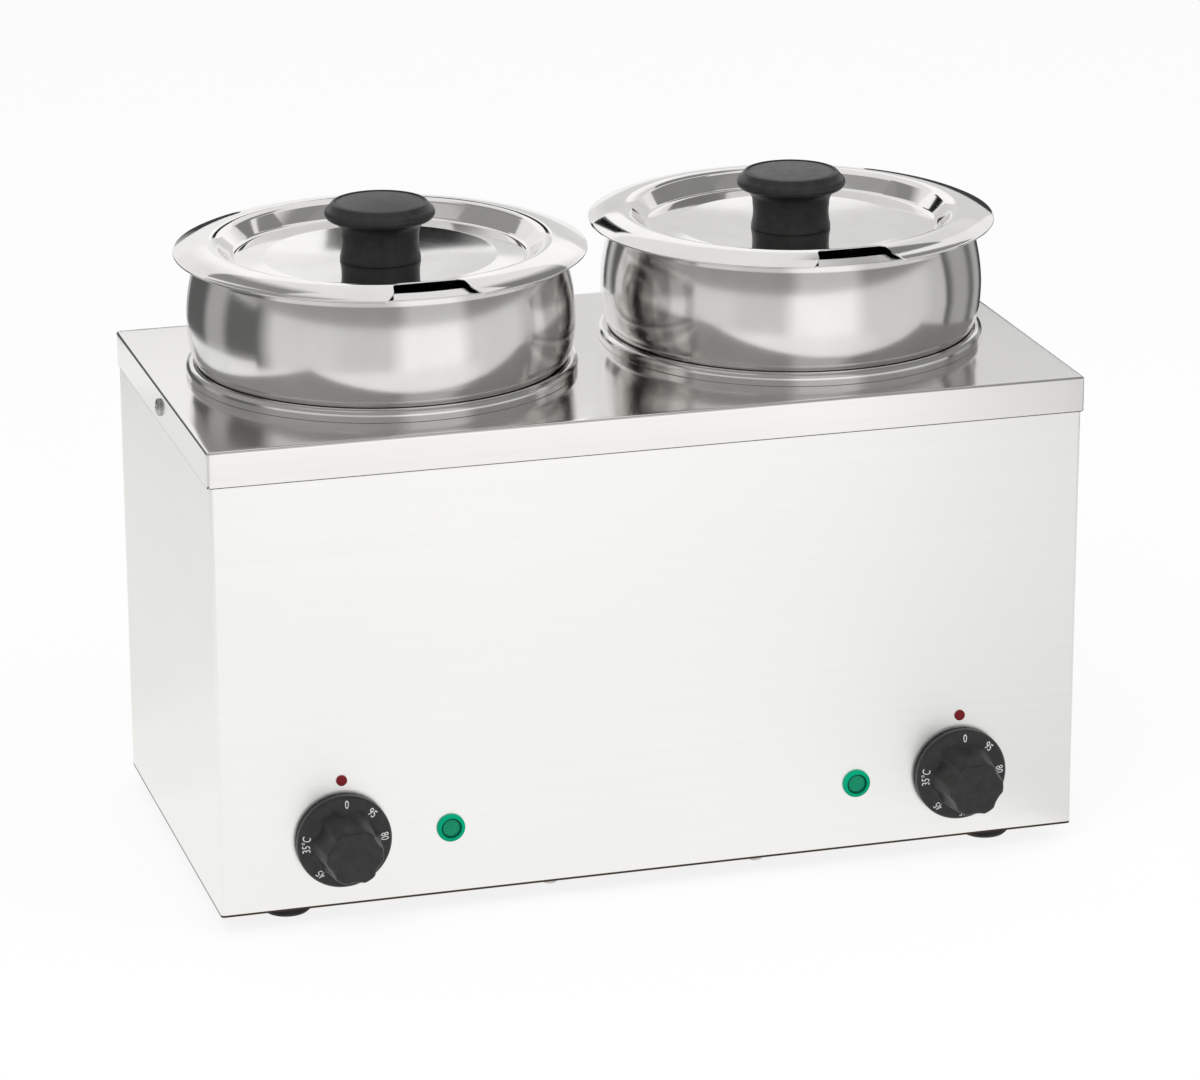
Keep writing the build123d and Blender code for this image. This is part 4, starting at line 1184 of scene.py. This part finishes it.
@dataclass
class Marker:
    """Red plug above a dial, with a chamfered and slightly domed head."""

    hand: Hand
    head_r: float = 3.0
    head_h: float = 1.2
    stem_r: float = 1.4
    columns: int = 64

    def build(self, materials: Finishes) -> None:
        """Makes the plug and its stem.

        Args:
            materials: every finish, by name.
        """
        place, length = front_mount(self.hand.of("dial_marker"))
        seat = length - self.head_h
        section = soften([(0, 0), (self.stem_r, 0), (self.stem_r, seat), (self.head_r, seat),
                          (self.head_r, length - 0.5), (self.head_r - 0.5, length - 0.12), (0, length)],
                         [0, 0.3, 0, 0.15, 0.25, 0.3, 0], 4)
        place_turned(self.hand.of("red_marker"), section, place, materials["red_plastic"], "housing",
                     "red_plastic", self.hand.of("dial_marker"), Axis.FRONT, self.columns)


@dataclass
class Foot:
    """Rubber foot: tapered puck with a moulded rib, hollow below for its screw."""

    node: str
    outer: float = 14.0
    taper: float = 2.0
    rib: float = 0.5
    rib_at: tuple[float, ...] = (5.0, 5.4, 6.2, 6.6)
    hollow_r: float = 5.7
    hollow: float = 4.8
    bore: float = 2.05
    columns: int = 96

    def build(self, materials: Finishes) -> None:
        """Makes the foot, with a shallow groove round its wall.

        Args:
            materials: every finish, by name.
        """
        low, high = corners(self.node)
        tall = float(high[2] - low[2])
        wall, inner = self.outer, self.outer - self.rib
        groove = list(zip((wall, inner, inner, wall), self.rib_at))
        section = soften([(self.bore, tall), (self.bore, self.hollow), (self.hollow_r, self.hollow),
                          (self.hollow_r, 0), (wall - self.taper, 0), (wall, self.taper), *groove,
                          (wall, tall), (self.bore, tall)],
                         [0, 0, 0.5, 0.5, 0.6, 0.8, 0.2, 0.2, 0.2, 0.2, 0.3, 0], 4)
        place_turned(f"rubber_{self.node}", section, (*((low + high) / 2)[:2], float(low[2])),
                     materials["foot_rubber"], "housing", "foot_rubber", self.node, columns=self.columns)


@dataclass
class CoverScrews:
    """Pan-head screws through the cover's skirt, one at each end, with a cross recess."""

    head_r: float = 4.9
    head_h: float = 2.4
    rim_h: float = 0.7
    shank_r: float = 1.9
    length: float = 9.0
    slot_w: float = 1.1
    slot_reach: float = 2.7
    slot_depth: float = 1.6
    dome_power: float = 2.6
    columns: int = 96

    def head(self) -> Array:
        """Grid of one screw from its tip to the middle of its head, the height pointing outwards.

        The dome's height is the root of one less the radius's share to the dome's power; the cross is a
        smooth trough along both diameters.

        Returns:
            A grid of rows x columns x 3 points.
        """
        angle = np.linspace(0, 2 * np.pi, self.columns, endpoint=False)
        shank = soften([(0, -self.length), (self.shank_r, -self.length), (self.shank_r, 0),
                        (self.head_r, 0), (self.head_r, self.rim_h)], [0, 0.5, 0, 0.15, 0], 3)
        radius = self.head_r * np.sin(np.linspace(np.pi / 2, 0, 30))[:, None] * np.ones(self.columns)
        dome = self.rim_h + (self.head_h - self.rim_h) * np.sqrt(
            np.clip(1 - (radius / self.head_r) ** self.dome_power, 0, 1))
        u, v = radius * np.cos(angle), radius * np.sin(angle)
        near = np.minimum(np.abs(u), np.abs(v)) - self.slot_w / 2
        cut = np.clip(-near / 0.25, 0, 1) * np.clip((self.slot_reach - radius) / 0.5, 0, 1)
        return np.concatenate([polar(shank[:, :1], angle, shank[:, 1:]),
                               np.stack([u, v, dome - self.slot_depth * cut], -1)])

    def build(self, materials: Finishes) -> None:
        """Makes both screws as one piece.

        Args:
            materials: every finish, by name.
        """
        low, high = corners("cover_screws")
        middle = (low + high) / 2
        shell = Shell()
        for axis, x in ((Axis.LEFT, low[0] + self.head_h), (Axis.RIGHT, high[0] - self.head_h)):
            shell.add(stood(self.head(), (x, middle[1], middle[2]), axis))
        place_piece(shell.mesh("skirt_screws"), [materials["fastener_steel"]], "housing", "fastener_steel",
                    "cover_screws")


def dress_carried(materials: Finishes) -> None:
    """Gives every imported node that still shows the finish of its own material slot.

    Args:
        materials: every finish, by name.
    """
    slots = {part["node"]: part["material_slot"] for part in frame["record"]["subparts"]}
    for name, node in frame["nodes"].items():
        if not node.hide_render:
            for slot in node.material_slots:
                slot.material = materials[slots[name]]
    LOG.info("%d packed nodes dressed", sum(not node.hide_render for node in frame["nodes"].values()))


@dataclass(frozen=True)
class Screen:
    """Round screen of the studio, seen only in reflections: part of a cylinder or cone, in bands.

    It is the ruled surface between two arcs, low and high, each given as (radius, height) in metres.
    """

    name: str
    low: Pair
    high: Pair
    ends: Pair
    bands: tuple[Pair, ...]
    blur: float = 1.5
    tint: Triple = (1.0, 1.0, 1.0)
    steps: int = 97

    def build(self) -> None:
        """Stands the screen up. Each band starts at its own degrees from +X, and has one shade."""
        first, last = self.ends
        angle = np.radians(np.linspace(first, last, self.steps))
        grid = np.stack([polar(radius, angle, height) for radius, height in (self.low, self.high)])
        recipe = Recipe(self.name)
        along = recipe.node("ShaderNodeSeparateXYZ", {0: recipe.spread((1.0, 1.0, 1.0), chart=True)})
        ramp = recipe.node("ShaderNodeValToRGB", {0: along.outputs[0]})
        stops = [(0.0, self.bands[0][1])]
        for (_, before), (start, shade) in zip(self.bands[:-1], self.bands[1:]):
            stops += [((start - self.blur - first) / (last - first), before),
                      ((start + self.blur - first) / (last - first), shade)]
        elements = ramp.color_ramp.elements
        elements.remove(elements[1])
        elements[0].position = 0.0
        elements[0].color = (*(part * stops[0][1] for part in self.tint), 1.0)
        for place, shade in stops[1:]:
            elements.new(place).color = (*(part * shade for part in self.tint), 1.0)
        recipe.feed(Base_Color=(0.0, 0.0, 0.0, 1.0), Specular_IOR_Level=0.0, Roughness=1.0,
                    Emission_Color=ramp.outputs[0], Emission_Strength=1.0)
        stage_only(Shell().add(grid / MM, closed=False).mesh(self.name), recipe)


def stage_only(mesh: bpy.types.Mesh, recipe: Recipe) -> None:
    """Puts a mesh in the studio so that only reflections show it, and it lights nothing else.

    Args:
        mesh: the screen's mesh.
        recipe: its material.
    """
    recipe.material.cycles.emission_sampling = "NONE"
    mesh.materials.append(recipe.material)
    screen = enter(mesh.name, mesh)
    screen.visible_camera = screen.visible_diffuse = False
    screen.visible_transmission = screen.visible_shadow = False


@dataclass(frozen=True)
class Lamp:
    """Soft rectangular lamp aimed at the machine."""

    name: str
    place: Triple
    size: Pair
    watts: float
    aim: Triple = (0.0, 0.0, 0.18)

    def build(self) -> None:
        """Hangs the lamp and aims it."""
        light = bpy.data.lights.new(self.name, "AREA")
        light.shape, light.size, light.size_y, light.energy = "RECTANGLE", *self.size, self.watts
        holder = enter(self.name, light)
        toward = np.array(self.aim) - np.array(self.place)
        back = -toward / np.linalg.norm(toward)
        side = np.cross((0.0, 0.0, 1.0), back)
        side = side / np.linalg.norm(side)
        rise = np.cross(back, side)
        rows = [[side[k], rise[k], back[k], self.place[k]] for k in range(3)]
        holder.matrix_world = Matrix([*rows, [0, 0, 0, 1]])
        holder.visible_glossy = False


@dataclass
class Studio:
    """Plain pale room: floor, soft lamps, screens for the metal to mirror, and the camera."""

    floor_half: float = 14.0
    floor_level: float = -0.0003
    floor_shade: float = 0.155
    floor_lift: float = 0.86
    room_level: float = 0.62
    camera_place: Triple = (-0.745311, -2.583446, 1.048893)
    camera_turn: Triple = (71.79346, 0.21354, -16.20795)
    lens: float = 151.136
    sensor: float = 36.0
    far: float = 60.0
    lamps: tuple[Lamp, ...] = (
        Lamp("key_lamp", (-1.3, -1.5, 2.3), (1.6, 1.6), 26.0),
        Lamp("fill_lamp", (1.7, -1.2, 1.6), (1.4, 1.4), 12.0),
    )
    screens: tuple[Screen, ...] = (
        Screen("left_screen", (0.70, 0.13), (0.70, 0.40), (96.0, 182.0),
               ((96.0, 0.05), (104.0, 0.60), (112.0, 0.12), (145.0, 0.45), (162.0, 0.14)), blur=3.0),
        Screen("front_screen", (0.95, 0.0), (0.95, 0.45), (180.0, 355.0),
               ((180.0, 0.14), (187.0, 0.80), (225.0, 0.72), (258.0, 1.15), (298.0, 0.78), (340.0, 0.62)),
               blur=5.0),
        Screen("right_screen", (0.70, 0.075), (0.70, 0.40), (353.0, 418.0),
               ((353.0, 0.10), (358.0, 0.42), (375.0, 0.16), (383.0, 0.45), (395.0, 0.05)), blur=2.5),
        Screen("high_screen", (0.96, 0.45), (0.70, 1.30), (118.0, 395.0),
               ((118.0, 0.35), (150.0, 0.38), (205.0, 0.36), (250.0, 0.34), (262.0, 0.62), (300.0, 0.30),
                (340.0, 0.28)), blur=4.0),
        Screen("rear_screen", (0.70, 0.76), (0.70, 1.30), (40.0, 118.0),
               ((40.0, 0.25), (58.0, 0.95), (104.0, 0.30)), blur=4.0),
        Screen("cover_screen", (0.70, 0.40), (0.70, 0.53), (42.0, 118.0),
               ((42.0, 0.76), (58.0, 0.80), (72.0, 0.74), (84.0, 1.0)), blur=6.0),
        Screen("lid_screen", (0.70, 0.53), (0.70, 0.76), (42.0, 118.0),
               ((42.0, 0.85), (56.0, 1.15), (104.0, 0.95)), blur=5.0),
        Screen("flag_screen", (0.68, 0.534), (0.68, 0.70), (81.5, 88.8),
               ((81.5, 0.25), (82.6, 0.01), (86.8, 0.02), (88.4, 0.30)), blur=0.6),
        Screen("ceiling_screen", (0.70, 1.30), (0.02, 1.30), (0.0, 360.0),
               ((0.0, 0.30), (20.0, 0.95), (116.0, 0.40), (150.0, 0.60), (230.0, 0.35)), blur=5.0),
        Screen("side_floor", (0.26, 0.002), (1.0, 0.002), (93.0, 160.0),
               ((93.0, 0.88), (140.0, 0.94)), tint=(0.985, 1.0, 0.98)),
        Screen("front_floor", (0.28, 0.002), (1.1, 0.002), (284.0, 345.0),
               ((284.0, 0.99), (304.0, 0.80)), blur=10.0),
    )

    def seen_rays(self, tree: bpy.types.NodeTree) -> Socket:
        """Is 1 for rays from the camera, and for those that metal or glass sends on.

        Args:
            tree: the node tree of the world or the floor.

        Returns:
            The socket that carries it.
        """
        path = tree.nodes.new("ShaderNodeLightPath")
        total = path.outputs["Is Camera Ray"]
        for name in ("Is Glossy Ray", "Is Transmission Ray"):
            both = tree.nodes.new("ShaderNodeMath")
            both.operation = "MAXIMUM"
            tree.links.new(total, both.inputs[0])
            tree.links.new(path.outputs[name], both.inputs[1])
            total = both.outputs[0]
        return total

    def build(self) -> None:
        """Makes the room, the lamps, the screens and the camera."""
        self.build_world()
        self.build_floor()
        for item in (*self.lamps, *self.screens):
            item.build()
        camera = bpy.data.cameras.new("camera")
        camera.lens, camera.sensor_width, camera.clip_end = self.lens, self.sensor, self.far
        holder = enter("camera", camera)
        holder.location = self.camera_place
        holder.rotation_euler = tuple(np.radians(self.camera_turn))
        bpy.context.scene.camera = holder
        bpy.context.scene.view_settings.view_transform = "Standard"

    def build_world(self) -> None:
        """White to the camera and in reflections, and a soft even level as light."""
        world = bpy.data.worlds.new("room")
        bpy.context.scene.world = world
        world.use_nodes = True
        tree = world.node_tree
        tree.nodes.clear()
        seen, light, mix, out = (tree.nodes.new(kind) for kind in (
            "ShaderNodeBackground", "ShaderNodeBackground", "ShaderNodeMixShader", "ShaderNodeOutputWorld"))
        for shader, strength in ((seen, 1.0), (light, self.room_level)):
            shader.inputs["Color"].default_value = WHITE
            shader.inputs["Strength"].default_value = strength
        tree.links.new(self.seen_rays(tree), mix.inputs[0])
        tree.links.new(light.outputs[0], mix.inputs[1])
        tree.links.new(seen.outputs[0], mix.inputs[2])
        tree.links.new(mix.outputs[0], out.inputs["Surface"])

    def build_floor(self) -> None:
        """Pale floor: plain to the light, and lifted to white where it is seen, with the shadow kept."""
        mesh = bpy.data.meshes.new("floor")
        ends = ((-1, -1), (1, -1), (1, 1), (-1, 1))
        mesh.from_pydata([(x * self.floor_half, y * self.floor_half, self.floor_level) for x, y in ends],
                         [], [(0, 1, 2, 3)])
        recipe = Recipe("floor_paper")
        cloud = recipe.noise(recipe.spread((4.0, 4.0, 4.0)), 2.0)
        recipe.feed(Base_Color=recipe.tinted(recipe.span(cloud, 0.0, 1.0), (0.80,) * 3, (0.82,) * 3),
                    Roughness=0.9, Specular_IOR_Level=0.0)
        tree = recipe.tree
        shade = recipe.node("ShaderNodeBsdfDiffuse", {"Color": (*(self.floor_shade,) * 3, 1.0)})
        lift = recipe.node("ShaderNodeEmission", {"Color": WHITE, "Strength": self.floor_lift})
        recipe.material.cycles.emission_sampling = "NONE"
        both = recipe.node("ShaderNodeAddShader", {0: shade.outputs[0], 1: lift.outputs[0]})
        mix = recipe.node("ShaderNodeMixShader", {0: self.seen_rays(tree), 1: recipe.shader.outputs[0],
                                                  2: both.outputs[0]})
        out = next(node for node in tree.nodes if node.type == "OUTPUT_MATERIAL")
        tree.links.new(mix.outputs[0], out.inputs["Surface"])
        mesh.materials.append(recipe.material)
        floor = enter("floor", mesh)


class Piece(Protocol):
    """What each sub-assembly offers: it puts itself in the scene."""

    def build(self, materials: Finishes) -> None:
        """Makes the piece with the finishes it needs."""


def main() -> None:
    """Builds the room, then each part of the machine, then dresses what is carried over."""
    logging.basicConfig(level=logging.INFO, format="%(name)s: %(message)s")
    Studio().build()
    materials = {slot: finish.material() for slot, finish in FINISHES.items()}
    parts: list[Piece] = [TopCover(), CoverScrews()]
    for hand in Hand:
        parts += [kind(hand) for kind in (Well, Pot, Lid, LidKnob, Dial, PilotLens, Marker)]
    parts += [Foot(f"foot_{end}_{side}") for end in ("front", "rear") for side in ("left", "right")]
    for part in parts:
        part.build(materials)
    dress_carried(materials)


if __name__ == "__main__":
    main()
